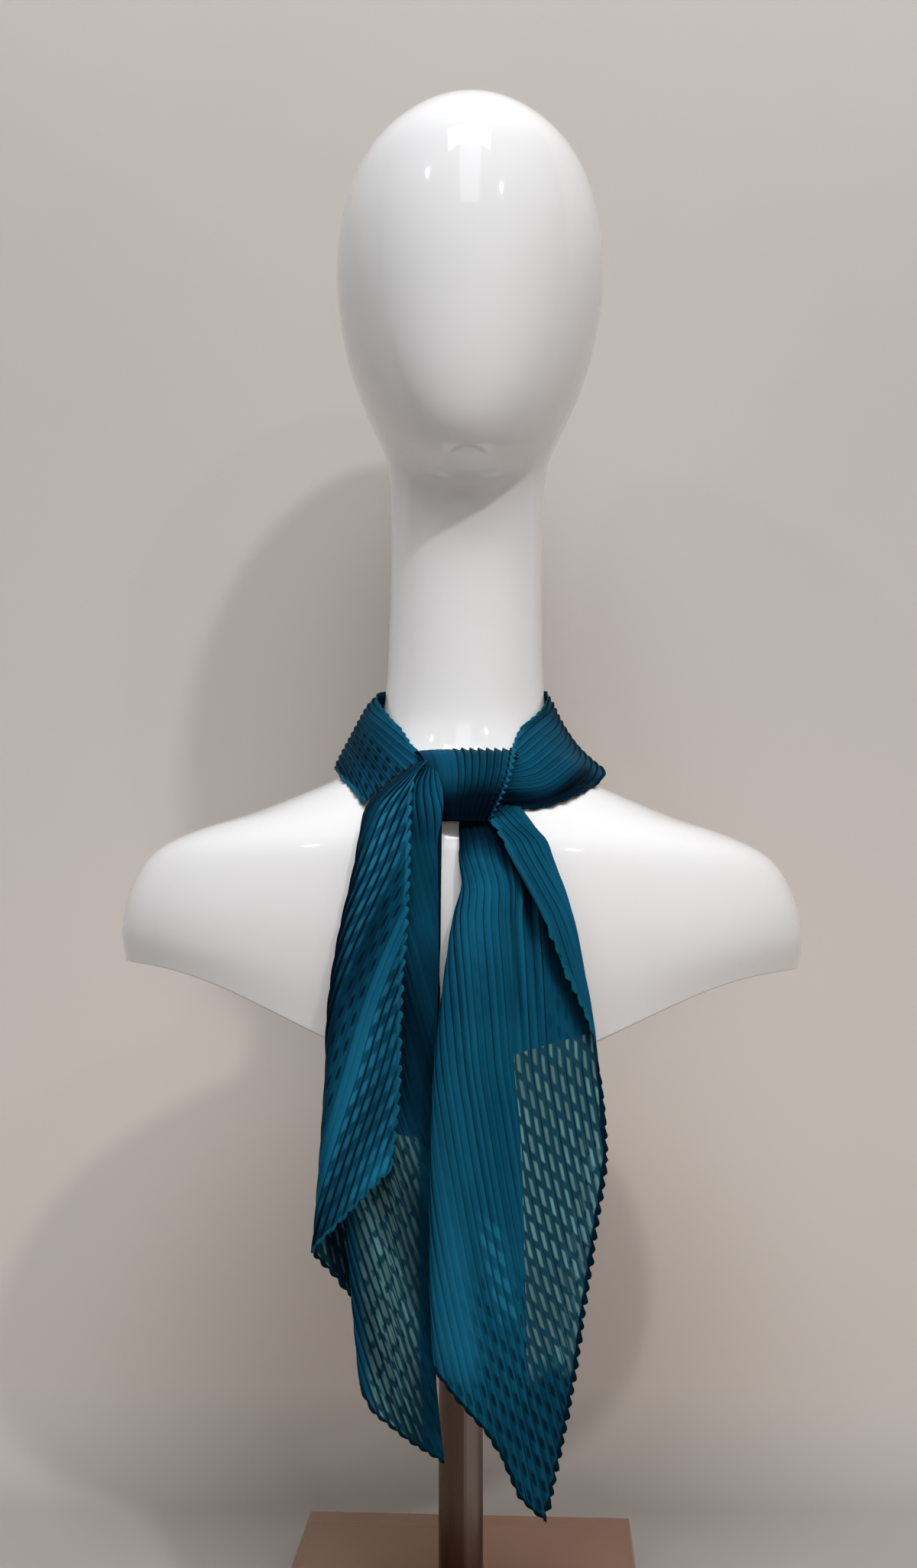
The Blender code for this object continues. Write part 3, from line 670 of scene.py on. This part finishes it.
def make_satin():
    satin = Finish("teal_satin", Specular_IOR_Level=0.03, Specular_Tint=SATIN_TINT)
    pleat, run, hem = satin.stored("pleat"), satin.stored("run"), satin.stored("hem")
    fold, gleam, tone = satin.stored("fold"), satin.stored("gleam"), satin.stored("tone")
    single = satin.stored("lined").step(0.6, -0.6)
    column, side = pleat.floor(), pleat.part()
    repeat = run / DASH_REPEAT + column * DASH_STAGGER + side * DASH_SLANT
    address = satin.node("ShaderNodeCombineXYZ", None, {0: column, 1: repeat.floor()})
    along = repeat.part()
    dash = side.within(0.26, 0.56, 0.09) * along.within(0.07, 0.73, 0.06)
    # a second row, set across the first, where another layer's dashes show through
    ghost = (pleat * 0.86 + run * 0.012).part().within(0.22, 0.74, 0.07)
    ghost_along = (run / DASH_REPEAT * 1.12 - pleat * 0.31).part()
    ghost = ghost * ghost_along.within(0.1, 0.8, 0.05) * satin.stored("double")
    short_dash = side.within(0.22, 0.80, 0.10) * along.within(0.12, 0.62, 0.10)
    dark_dash = side.within(0.26, 0.66, 0.10) * along.within(0.14, 0.62, 0.10)
    free = hem.step(1.2, 1.9)
    thread = satin.noise(1400, detail=2)
    cloud = satin.noise(30, detail=3)
    wide_cloud = satin.noise(24, detail=2)
    streak_values = {"W": pleat * 1.7, "Scale": 1.0, "Detail": 1.0}
    streak = satin.node("ShaderNodeTexNoise", {"noise_dimensions": "1D"}, streak_values)
    # painted shade in each pleat's groove and a painted highlight on its crest
    groove_shade_mask = side.step(0.80, 0.88) + side.step(0.17, 0.03)
    crest_highlight_mask = side.within(0.50, 0.80, 0.10)
    ground = satin.mix((cloud * 0.6 + streak * 0.5).step(0.25, 0.8), TEAL_DEEP, TEAL_LIT)
    ground = satin.mix(crest_highlight_mask * fold * 0.30, ground, CREST_HIGHLIGHT)
    # painted highlights on the dashes where gleam is above 0, painted shade on them where it is
    # below 0
    ground = satin.mix(gleam.step(0, 1) * short_dash * 0.8, ground, DASH_HIGHLIGHT)
    ground = satin.mix(gleam.step(0, -1) * dark_dash * 0.92, ground, DASH_SHADED)
    # painted light from behind, where one layer hangs free
    ground = satin.mix(single * free, ground, SHEER_GROUND)
    woven = single * free * (dash + ghost * 0.7 - dash * ghost * 0.7)
    patch = satin.node("ShaderNodeTexWhiteNoise", {"noise_dimensions": "2D"}, {"Vector": address})
    brightness = (patch * 0.22 + wide_cloud * 1.2).step(0.48, 0.95)
    dash_tone = satin.mix(brightness, SHEER_DASH, SHEER_DASH_LIT)
    ground = satin.mix(woven * (0.8 + patch * 0.2), ground, dash_tone)
    ground = satin.mix(groove_shade_mask * fold.step(0.1, 1.0) * 0.85, ground, VALLEY_SHADE)
    # painted shade where the stored value is below 1, painted light where it is above 1
    painted_shade_ground = satin.mix(tone.step(1.0, 0.2), ground, VALLEY_SHADE)
    painted_light_ground = satin.mix(tone.step(1.0, 2.0) * 0.6, painted_shade_ground, DASH_HIGHLIGHT)
    hem_tone = satin.mix(satin.stored("rim"), HEM_DARK, HEM_LIGHT)
    satin.set(
        Base_Color=satin.mix(1 - free, painted_light_ground, hem_tone),
        Roughness=thread * 0.12 + cloud * 0.1 + 0.48,
        Alpha=1 - woven * 0.18,
    )
    weft = (run * WEFT_PER_MM).sum_with("SINE")
    satin.bump(thread * 0.5 + weft * 0.5, depth=0.00004, strength=0.5)
    return satin


satin = make_satin()
print(satin.look.name, "has", len(satin.tree.nodes), "nodes")

# %% [markdown]
# ## The left tail
# One cloth folded down its left side: a front flap whose saw-toothed edge hangs free,
# and a back layer behind it. Its pleats run down and to the left on the flap. A second,
# narrower panel hangs between the two and ends in the left point.

# %% Left tail, flap and back
LAYER_STEP = 4.2
FOLD_ROUND = 2.0
LEFT_OUTER = Table("z edge_q edge_x fold_q fold_x back_q back_x y", [
    (482, 17.8, -17.4, 24.0, -24.0, 33.4, -14.8, -78),
    (474, 17.0, -23.6, 23.4, -31.6, 33.2, -14.0, -85),
    (468, 16.4, -24.8, 23.1, -40.0, 33.0, -12.0, -90),
    (462, 15.9, -25.6, 22.7, -46.6, 32.9, -11.0, -94.5),
    (455, 15.3, -26.0, 22.3, -50.6, 32.8, -10.4, -99),
    (443, 14.2, -26.2, 21.6, -52.6, 32.8, -10.2, -105),
    (426, 12.6, -26.3, 20.5, -54.6, 32.8, -10.3, -111),
    (391, 8.7, -27.5, 18.3, -62.1, 32.6, -10.3, -113),
    (357, 5.7, -29.7, 16.1, -67.0, 31.6, -11.0, -113),
    (320, 3.2, -30.6, 13.8, -69.2, 29.8, -12.0, -112),
    (277, 0.4, -34.3, 11.0, -72.0, 27.4, -13.0, -111),
    (233, -2.4, -37.0, 8.2, -75.1, 25.4, -13.4, -110),
    (190, -5.2, -39.0, 5.4, -76.0, 23.0, -13.4, -109),
])


def left_outer_place(q, z):
    row = LEFT_OUTER.at(z)
    back_y = row.y + 3 * LAYER_STEP
    knots = [
        (row.edge_q, row.edge_x, row.y - 1),
        (row.fold_q - 1, row.fold_x + FOLD_ROUND, row.y),
        (row.fold_q, row.fold_x, (row.y + back_y) / 2),
        (row.fold_q + 1, row.fold_x + FOLD_ROUND, back_y),
        (row.back_q, row.back_x, back_y),
    ]
    x, y = along_path(q, knots)
    open_part = np.clip((470 - z) / 60, 0, 1)
    y = y - 2.6 * open_part * arc(q, row.edge_q - 2, row.fold_q)
    return np.stack([x, y, z], -1)


FLAP_EDGE = [(0.4, 277), (3.2, 320), (5.7, 357), (8.7, 391), (12.6, 426), (15.3, 455)]
FLAP_EDGE += [(17.0, 474), (17.8, 482)]
OUTER_END = [(0.4, 277), (8.2, 233), (11.1, 219.5), (12.3, 211), (24.5, 197)]
OUTER_SIDE = [(25.4, 233), (27.4, 277), (29.8, 320), (31.6, 357), (32.6, 391), (32.8, 443)]
OUTER_SIDE += [(32.9, 462), (33.3, 481)]
LIT_PLEATS, PLAIN_PLEATS = 8.7, 14.5  # the last pleats of the lit and of the plain band


def left_outer_looks(q, v):
    """Sharp pleats with painted highlights on the dashes at both sides of the flap, and a plain
    band between whose dashes show painted shade.
    """
    row = LEFT_OUTER.at(v)
    past_lit = ease(q, LIT_PLEATS, LIT_PLEATS + 0.3)
    plain = past_lit * ease(q, PLAIN_PLEATS, PLAIN_PLEATS - 0.4)
    broad = past_lit * ease(q, LIT_PLEATS + 2.6, LIT_PLEATS + 1.6)
    shoulder = ease(v, 425, 450) * ease(q, row.fold_q - 3.5, row.fold_q - 2)
    lit_corner = ease(v, 300, 262) * ease(q - row.edge_q, 6, 1)
    behind = ease(q, row.fold_q - 0.2, row.fold_q + 0.6)
    fold = (1.15 + 0.3 * waver(q, v, 0.6)) * (1 - 0.75 * plain) * (1 - 0.8 * shoulder)
    gleam = np.where(plain > 0.5, -0.9 + 0.9 * broad, 0.75 + 0.25 * waver(q, v, 3.0))
    # painted light and shade: darker on the upper flap, lighter in a broad band and the lower
    # corner, darker near the fold and on the layer behind it, with random mottling
    tone = 0.80 - 0.1 * ease(v, 330, 370) + 0.75 * broad * ease(v, 470, 400)
    tone = tone + 1.3 * lit_corner + 0.25 * waver(q, v, 2.7)
    near_fold = ease(q - row.fold_q, -3.2, -0.6)
    return {
        "fold": fold,
        "gleam": gleam * (1 - shoulder) * (1 - behind),
        "tone": tone * (1 - 0.35 * near_fold) * (1 - 0.35 * behind),
        "lined": np.maximum(v - 262, row.fold_q + 1.2 - q),
        "rim": 1 - behind,
    }


left_outer = pleated_cloth(
    "scarf_left_flap",
    low=OUTER_END + OUTER_SIDE,
    high=FLAP_EDGE + [(24.0, 480), (33.3, 482)],
    place=rounded(left_outer_place),
    rows=70,
    hems=[FLAP_EDGE, OUTER_END],
    looks=left_outer_looks,
    teeth=([(0, 1.0), (24.5, 1.0), (25, 0)], [(0, 1.1), (16.5, 1.1), (17.8, 0)]),
    solid=("tail_left_outer",),
)

# %% Left tail, inner panel
LEFT_INNER = Table("z return_q fold_q fold_x end_q end_x", [
    (478, 22.1, 25.5, -23.0, 33.4, -14.8), (468, 21.1, 24.5, -34.5, 33.0, -12.6),
    (455, 19.8, 23.2, -43.5, 32.2, -11.5), (440, 18.3, 21.7, -46.0, 31.3, -12.0),
    (415, 16.0, 19.4, -49.0, 30.0, -11.5), (379, 12.6, 16.0, -52.0, 27.7, -11.0),
    (300, 5.1, 8.5, -57.5, 21.0, -12.5), (253, 0.6, 4.0, -58.2, 16.6, -12.9),
    (210, -2.5, 0.9, -55.4, 12.9, -13.0), (171, -5.1, -1.7, -51.8, 9.6, -12.4),
    (130, -8.1, -4.7, -48.0, 6.3, -8.4),
])


def left_inner_place(q, z):
    row = LEFT_INNER.at(z)
    y = LEFT_OUTER.at(z).y + LAYER_STEP
    behind = y + LAYER_STEP
    knots = [
        (row.return_q, row.fold_x + 3.4 * PITCH, behind),
        (row.fold_q - 1, row.fold_x + FOLD_ROUND, behind),
        (row.fold_q, row.fold_x, (y + behind) / 2),
        (row.fold_q + 1, row.fold_x + FOLD_ROUND, y),
        (row.end_q, row.end_x, y),
    ]
    x, y = along_path(q, knots)
    cap = ease(z, 436, 460) * ease(z, 488, 474) * ease(q, row.end_q - 5.0, row.end_q - 0.5)
    return np.stack([x + 2.6 * cap, y - 8.0 * cap, z], -1)


INNER_END = [(-1.7, 170.5), (-0.65, 154.5), (2.9, 140), (6.3, 130)]
INNER_SIDE = [(9.6, 171), (12.9, 210), (16.6, 253), (21.0, 300), (27.7, 379), (30.0, 415)]
INNER_SIDE += [(31.3, 440), (32.2, 455), (33.0, 468), (33.4, 478)]
INNER_RETURN = [(-5.1, 171), (-2.5, 210), (0.6, 253), (5.1, 300), (12.6, 379), (16.0, 415)]
INNER_RETURN += [(18.3, 440), (19.8, 455), (21.1, 468), (22.1, 478), (33.4, 478.5)]


def left_inner_looks(q, v):
    """Dark at both sides; the free middle of the lower half is one layer thick.
    Painted shade darkens a band in the upper half, the right side lower down and the lower
    dashes; painted light lifts the top.
    """
    row = LEFT_INNER.at(v)
    from_left, from_right = q - row.fold_q, row.end_q - q
    upper = ease(v, 290, 310)
    smooth = ease(from_right, 4.5, 3.0)
    inner_painted_shade = 0.25 * ease(v, 400, 370) * upper + 0.2 * smooth * (1 - upper)
    backed_above = v - 292 + 2 * waver(q, v, 1.0)
    return {
        "fold": (1.0 + 0.35 * waver(q, v, 2.2)) * (1 - 0.7 * smooth * ease(v, 455, 435)),
        "gleam": -0.5 * (1 - upper) * ease(from_left, 3, 5),
        "tone": 0.72 + 0.2 * waver(q, v, 5.2) - inner_painted_shade + 0.2 * ease(v, 440, 462),
        "lined": np.maximum.reduce([backed_above, 2.2 - from_left, 2.4 - from_right]),
        "double": ease(v, 150, 175),
    }


left_inner = pleated_cloth(
    "scarf_left_panel",
    low=[(-5.0, 170.6)] + INNER_END + INNER_SIDE,
    high=INNER_RETURN,
    place=rounded(left_inner_place),
    rows=96,
    hems=[INNER_END],
    looks=left_inner_looks,
    teeth=([(-1.7, 0.8), (6.3, 0.8), (7.0, 0)], None),
    solid=("tail_left_inner",),
)

# %% [markdown]
# ## The right tail
# The longest piece: a hidden back flap, a fold down the left, the broad main layer with
# a tuck that slips its left half over its right, a fold down the right, and a lapel that
# turns to the front and throws a dark shadow across the main layer, a shadow both cast
# and painted.

# %% Right tail
RIGHT_TAIL = Table("z back_q back_x left_q left_x tuck_q tuck right_q right_x left_y right_y", [
    (451, 8.4, 21.5, 15.3, -2.0, 19.5, 0.0, 27.2, 36.0, -90.5, -88),
    (446, 8.0, 22.0, 15.0, -1.5, 19.6, 0.1, 27.5, 39.5, -94, -91),
    (440, 7.6, 23.0, 14.6, -1.5, 19.7, 0.2, 27.8, 44.5, -98, -94),
    (432, 7.0, 24.0, 14.1, -1.8, 19.9, 0.35, 28.1, 47.3, -103, -97),
    (416, 5.7, 25.0, 13.2, -0.5, 20.2, 0.55, 28.9, 53.0, -109, -100.5),
    (401, 4.5, 25.5, 12.4, -4.8, 20.4, 0.7, 29.7, 57.6, -112, -102.5),
    (377, 2.6, 26.0, 11.0, -8.5, 20.3, 0.85, 30.4, 62.5, -117, -103),
    (345, 0.0, 26.5, 9.2, -12.4, 20.0, 1.0, 31.4, 68.1, -120, -102.5),
    (325, -1.6, 26.5, 8.1, -14.4, 19.6, 1.0, 31.8, 70.6, -121, -102),
    (304, -3.3, 26.5, 7.0, -15.2, 19.2, 1.0, 32.6, 77.0, -121.5, -101.5),
    (280, -5.0, 26.5, 5.8, -15.8, 18.6, 1.0, 31.9, 78.4, -121, -101),
    (222, -9.0, 26.0, 2.9, -16.0, 16.0, 0.7, 26.7, 69.8, -120, -100),
    (173, -12.0, 26.0, 0.5, -14.2, 13.0, 0.2, 21.7, 62.4, -119, -99.5),
    (132, -14.0, 26.0, -1.6, -13.0, 11.0, 0.0, 17.1, 54.3, -118.5, -99),
    (96, -16.0, 26.0, -3.3, -12.0, 9.0, 0.0, 13.6, 48.0, -118, -98.5),
])
CREASE_TURN, CREASE_LEAN, CREASE_HEIGHT = 2.9, 0.045, 380


def crease_phase(past_tuck, z):
    """The soft slanting creases beside the tuck, as an angle."""
    return CREASE_TURN * past_tuck + CREASE_LEAN * (z - CREASE_HEIGHT)


def right_tail_place(q, z):
    row = RIGHT_TAIL.at(z)
    wide = row.right_x - row.left_x

    def front(x):
        return row.left_y + (row.right_y - row.left_y) * (x - row.left_x) / wide

    share = (row.tuck_q - row.left_q) / (row.right_q - row.left_q)
    tuck_x = row.left_x + wide * share
    under_x = tuck_x + PITCH * (1 - row.tuck) - 1.4 * row.tuck
    knots = [
        (row.back_q, row.back_x, front(row.back_x) + LAYER_STEP + 1),
        (row.left_q - 1, row.left_x + FOLD_ROUND, row.left_y + LAYER_STEP),
        (row.left_q, row.left_x, row.left_y + LAYER_STEP / 2),
        (row.left_q + 1, row.left_x + FOLD_ROUND, row.left_y),
        (row.tuck_q, tuck_x, front(tuck_x) - 1.8 * row.tuck),
        (row.tuck_q + 1.0, under_x, front(tuck_x) + 1.4 * row.tuck),
        (row.right_q - 1, row.right_x - FOLD_ROUND, row.right_y),
        (row.right_q, row.right_x, row.right_y - LAYER_STEP / 2),
        (row.right_q + 1, row.right_x - FOLD_ROUND, row.right_y - LAYER_STEP),
        (row.right_q + 6.0, row.right_x - 6.0 * PITCH, front(row.right_x - 21) - LAYER_STEP - 1),
    ]
    x, y = along_path(q, knots)
    open_part = np.clip((446 - z) / 50, 0, 1)
    y = y - 2.4 * open_part * arc(q, row.left_q, row.tuck_q)
    y = y + 1.6 * open_part * arc(q, row.tuck_q + 1, row.right_q)
    y = y - 3.0 * open_part * np.clip((q - row.right_q - 1) / 5.5, 0, 1)
    crumple = ease(z, 300, 345) * ease(z, 440, 410) * arc(q, row.tuck_q - 1.5, row.tuck_q + 6)
    y = y - 1.5 * crumple * np.sin(crease_phase(q - row.tuck_q, z))
    y = y + 0.8 * np.maximum(z - 450, 0)
    return np.stack([x, y, z], -1)


RIGHT_END = [(-8.2, 237), (1.1, 184), (3.7, 166), (6.5, 149), (8.0, 134), (8.9, 115)]
RIGHT_END += [(11.8, 100)]
RIGHT_SIDE = [(11.8, 100), (15.3, 132), (19.9, 173), (24.9, 222), (28.8, 264), (30.1, 280)]
RIGHT_SIDE += [(30.8, 304), (31.2, 325)]
LAPEL_EDGE = [(31.2, 325), (31.9, 332), (33.1, 360), (33.6, 373), (34.4, 400)]
LAPEL_TOP = [(34.2, 440), (32.8, 451)]
RIGHT_TOP = [(-8.2, 237.5), (-5.0, 280), (0.0, 345), (4.5, 401), (8.0, 446), (8.4, 451)]
RIGHT_TOP += [(11, 456), (31.4, 458)] + LAPEL_TOP[::-1] + [(34.4, 401)]
LAPEL_REACH = np.array(LAPEL_EDGE + LAPEL_TOP).T


def right_tail_looks(q, v):
    """Fine pleats on the left, deep ones beside the tuck and a plain reach up to the fold.
    Painted shadow falls under the knot and beside the lapel's edge, painted light and shade
    run in bands by the tuck, and painted light lifts the left side and the lapel.
    """
    row = RIGHT_TAIL.at(v)
    past_tuck, past_fold = q - row.tuck_q, q - row.right_q
    under = ease(past_tuck, 0.2, 0.9)
    lapel = ease(past_fold, -0.4, 0.4)
    plain = ease(past_tuck, 4.8, 5.8) * (1 - lapel) * ease(v, 322, 332)
    lapel_plain = lapel * ease(past_fold, 2.6, 1.4)
    knot_shadow = ease(v, 414, 446)
    left_shine = ease(q - row.left_q, 0.5, 3) * ease(q - row.left_q, 9, 5)
    low_marks = np.maximum(ease(v, 245, 205) * ease(q, 6, 8), ease(v, 180, 172))
    covered = 2 * row.right_q - np.interp(v, *LAPEL_REACH[::-1])
    shade = ease(q, covered - 3.0, covered - 0.6) * (1 - lapel) * ease(v, 326, 345)
    crease_shading = ease(v, 340, 365) * ease(v, 442, 415) * arc(q, row.tuck_q - 1.5, row.tuck_q + 6)
    crease_shading = crease_shading * np.sin(crease_phase(past_tuck, v) + 0.6)
    window = ease(q, 11, 11.6) * ease(q, 14.6, 14) * ease(v, 192, 205) * ease(v, 262, 245)
    fold = 0.45 + 0.75 * uneven(q) + 0.3 * waver(q, v, 4.1)
    fold = fold * (1 - 0.85 * plain) * (1 - 0.75 * lapel_plain)
    fold = fold + 0.35 * ease(past_tuck, 0.5, 1.5) * ease(past_tuck, 5, 4) * (1 - lapel)
    # painted shade in the dashes of the plain reach and low down, painted highlights in them in
    # one window
    gleam = -0.45 * plain - 0.8 * low_marks * (1 - window) + 0.7 * window
    # painted light lower down left of the tuck, in a shine by the left fold and on the lapel,
    # slight painted shade past the tuck, with random mottling
    tone = 0.94 + 0.3 * ease(v, 300, 230) * ease(v, 150, 180) * (1 - under)
    tone = tone + 0.55 * left_shine * (0.5 + 0.5 * waver(q, v, 3.3)) - 0.06 * under + 0.3 * lapel
    # painted shadow beside the lapel's edge and under the knot, and painted light and shade in
    # bands along the creases by the tuck
    tone = (tone - 0.45 * shade + 0.35 * crease_shading) * (1 - 0.8 * knot_shadow * (1 - 0.7 * lapel))
    backed_above, backed_below = v - 331 - 1.1 * past_tuck, (176 + 6 * waver(q, v, 0.3) - v) / 16
    return {
        "fold": fold + 0.5 * lapel * (1 - lapel_plain),
        "gleam": gleam + 0.25 * waver(q, v, 1.1) * left_shine,
        # painted shade, darker towards the bottom
        "tone": tone * (1 - 0.2 * ease(v, 190, 165)),
        "lined": np.where(past_tuck > 0.6, np.maximum(backed_above, backed_below), WELL_LINED),
        "double": 0.8 * ease(past_fold, -6, -2) * ease(v, 300, 280),
        "rim": ease(v, 330, 345) * lapel,
    }


right_tail = pleated_cloth(
    "scarf_right_tail",
    low=RIGHT_END + RIGHT_SIDE[1:] + LAPEL_EDGE[1:],
    high=RIGHT_TOP,
    place=rounded(right_tail_place),
    rows=74,
    hems=[RIGHT_END, RIGHT_SIDE, LAPEL_EDGE, RIGHT_TOP[-4:]],
    looks=right_tail_looks,
    teeth=([(-8, 0.6), (11, 0.6), (14, 1.2), (34.4, 1.2)], [(31.4, 0), (32.8, 1.4), (34.4, 1.2)]),
    solid=("tail_right",),
)

# %% [markdown]
# ## Round the neck
# The middle of the scarf circles the neck. Its pleats run along it, from the knot up and
# round to the back and down again. Its upper edge stands off the neck in two peaks.

# %% Neck wrap
NECK_WRAP = Table("s top_q bottom_q top_x top_y top_z bottom_x bottom_y bottom_z belly", [
    (0, 2.5, 10.5, -19.5, -62, 483.5, -51, -77, 459.0, 2.0),
    (1, 1.0, 12.5, -35.5, -38, 504.5, -67, -33, 475.5, 3.0),
    (2, 0.0, 13.0, -50.0, 0, 524.5, -71, 2, 483.5, 1.0),
    (3, 0.0, 13.5, -38.0, 40, 532.0, -54, 52, 483.0, 2.0),
    (4, 0.0, 13.5, 3.5, 57, 535.0, 3, 73, 483.0, 2.0),
    (5, 0.0, 13.5, 45.0, 40, 532.0, 60, 52, 483.0, 2.0),
    (6, 0.0, 13.5, 50.5, 0, 526.0, 82.5, -4, 481.0, -5.0),
    (7, 1.0, 12.5, 34.5, -40, 504.5, 67, -53, 464.5, 2.0),
    (7.5, 1.7, 12.0, 29.5, -53, 494.5, 46, -73, 453.5, 1.5),
    (8, 2.5, 11.0, 28.5, -62, 485.5, 14, -86, 457.0, 1.0),
])
WRAP_STATION = 46.0  # millimetres of cloth from one row to the next


def wrap_place(q, v):
    row = NECK_WRAP.at(v / WRAP_STATION)
    ahead = NECK_WRAP.at(v / WRAP_STATION + 0.05)
    top = np.stack([row.top_x, row.top_y, row.top_z], -1)
    bottom = np.stack([row.bottom_x, row.bottom_y, row.bottom_z], -1)
    run = np.stack([ahead.top_x, ahead.top_y, ahead.top_z], -1) - top
    run = run + np.stack([ahead.bottom_x, ahead.bottom_y, ahead.bottom_z], -1) - bottom
    share = ((q - row.top_q) / (row.bottom_q - row.top_q))[..., None]
    out = np.cross(run, bottom - top)
    out = out / np.linalg.norm(out, axis=-1)[..., None]
    s = v[..., None] / WRAP_STATION
    swell = row.belly[..., None] * 4 * share * (1 - share)
    roll = 5.0 * np.exp(-(((share - 0.70) / 0.16) ** 2)) - 3.0 * ease(share, 0.78, 1.0)
    lip = -2.0 * np.exp(-((share / 0.1) ** 2))
    return top + (bottom - top) * share + out * (swell + ease(s, 6.3, 7.0) * roll + lip)


WRAP_FROM = [(0.0, 92), (1.0, 46), (2.5, 0.6), (10.5, 0.6), (12.5, 46), (13.0, 92), (13.5, 138)]
WRAP_TO = [(0.0, 276), (1.0, 322), (2.5, 367.4), (11.0, 367.4), (12.5, 322), (13.5, 276)]
WRAP_SIDES = [[(0, 92), (0, 276)], [(13.5, 138), (13.5, 276)]]
WRAP_TEETH = [(0, 0.6), (2.3, 0.6), (2.6, 0), (10.4, 0), (10.7, 0.6), (13.5, 0.6)]


def wrap_looks(q, v):
    """Even pleats all round, with dark marks of painted shade low on the left and a roll low
    on the right whose underside gets painted shade; painted light lifts the top of the right end.
    """
    s = v / WRAP_STATION
    row = NECK_WRAP.at(s)
    share = (q - row.top_q) / (row.bottom_q - row.top_q)
    marks = ease(s, 3.0, 2.0) * ease(share, 0.30, 0.42)
    under = ease(s, 6.2, 6.8) * ease(share, 0.72, 0.84)
    lit = ease(s, 6.0, 6.6) * ease(share, 0.5, 0.2)
    return {
        "fold": 1.15 + 0.2 * waver(q, v, 1.7),
        "gleam": -1.6 * marks,
        # painted shade under the roll and painted light at the top of the right end, with random
        # mottling
        "tone": 0.76 - 0.4 * under + 0.25 * waver(q, v, 2.0) + 0.2 * lit,
        "lined": WELL_LINED,
        "rim": np.maximum(ease(share, 0.6, 0.4), ease(s, 2.0, 1.0)),
    }


neck_wrap = pleated_cloth(
    "scarf_neck_wrap",
    low=WRAP_FROM,
    high=WRAP_TO,
    place=rounded(wrap_place, 0.4),
    rows=150,
    hems=[WRAP_FROM[:3], WRAP_FROM[3:], WRAP_TO[:3], WRAP_TO[3:]] + WRAP_SIDES,
    looks=wrap_looks,
    teeth=(WRAP_TEETH, WRAP_TEETH),
    solid=("neck_wrap_left", "neck_wrap_back", "neck_wrap_right"),
)

# %% [markdown]
# ## The knot
# A band of the same cloth crosses over the front. Its left third is drawn smooth; the
# rest shows upright pleats, and its cut edge stands up in a small frill on the right.

# %% Knot
KNOT = Table("s left right y z", [
    (0, -16.0, 26.0, -58, 478.0), (1, -19.0, 27.2, -64, 485.5), (2, -17.0, 26.5, -74, 488.0),
    (3, -14.0, 25.5, -86, 484.0), (4, -11.8, 23.5, -94, 474.5), (5, -11.0, 20.5, -97.5, 465.5),
    (6, -10.6, 17.0, -98, 457.5), (7, -10.0, 13.3, -96.5, 449.5),
])
KNOT_STATION, KNOT_LENGTH, KNOT_PLEATS, FRILL_TURN = 9.0, 63, 10, 1.9
KNOT_START, KNOT_END = -1.6, KNOT_PLEATS + 0.6


def knot_place(q, v):
    row = KNOT.at(v / KNOT_STATION)
    share = q / KNOT_PLEATS
    x = row.left + (row.right - row.left) * share
    y = row.y + 3.0 * (2 * share - 1) ** 2 + 2.2 * np.maximum(1.0 - q, 0) ** 1.5
    frill = np.clip(q - KNOT_PLEATS + 0.9, 0, 2)
    y = y - frill * (1.1 + 0.35 * np.sin(v * FRILL_TURN))
    x = x + frill * 0.5 * np.sin(v * FRILL_TURN + 1.2)
    return np.stack([x, y, row.z], -1)


def knot_looks(q, v):
    """Drawn smooth on the left, then upright pleats, with painted shade where the band turns
    under and towards its right.
    """
    return {
        "fold": 0.08 + 1.15 * ease(q, 2.4, 3.6),
        "gleam": 0.0,
        # painted shade where the band turns under and towards its right, with random mottling
        "tone": 0.80 - 0.65 * ease(v, 34, 58) - 0.2 * ease(q, 2, 8) + 0.12 * waver(q, v, 0.2),
        "lined": WELL_LINED,
        "rim": 1.0,
    }


knot = pleated_cloth(
    "scarf_knot",
    low=[(KNOT_START, 0), (KNOT_END, 0)],
    high=[(KNOT_START, KNOT_LENGTH), (KNOT_END, KNOT_LENGTH)],
    place=rounded(knot_place, 0.2),
    rows=110,
    hems=[[(KNOT_END, 0), (KNOT_END, KNOT_LENGTH)]],
    looks=knot_looks,
    solid=("knot_wrap",),
)

# %% [markdown]
# ## What each cloth was cut from
# Each cloth's flat address is read back from its mesh, and its pleat count is opened to
# the width of cloth it takes. Pulled flat, one pleat takes up more cloth than the width it
# covers, so the cut is wider than the pleated sheet.

OPENED_PLEAT = 4.5  # millimetres of flat cloth to a pleat


def declare(piece):
    """Reads a cloth's flat address back and opens its pleats flat; nothing is kept or returned.
    """
    mesh = piece.data
    address = np.empty((2, len(mesh.vertices)), np.float32)
    for row, key in zip(address, ("pleat", "run")):
        mesh.attributes[key].data.foreach_get("value", row)
    address[0] *= OPENED_PLEAT


declare(left_outer)
declare(left_inner)
declare(right_tail)
declare(neck_wrap)
declare(knot)
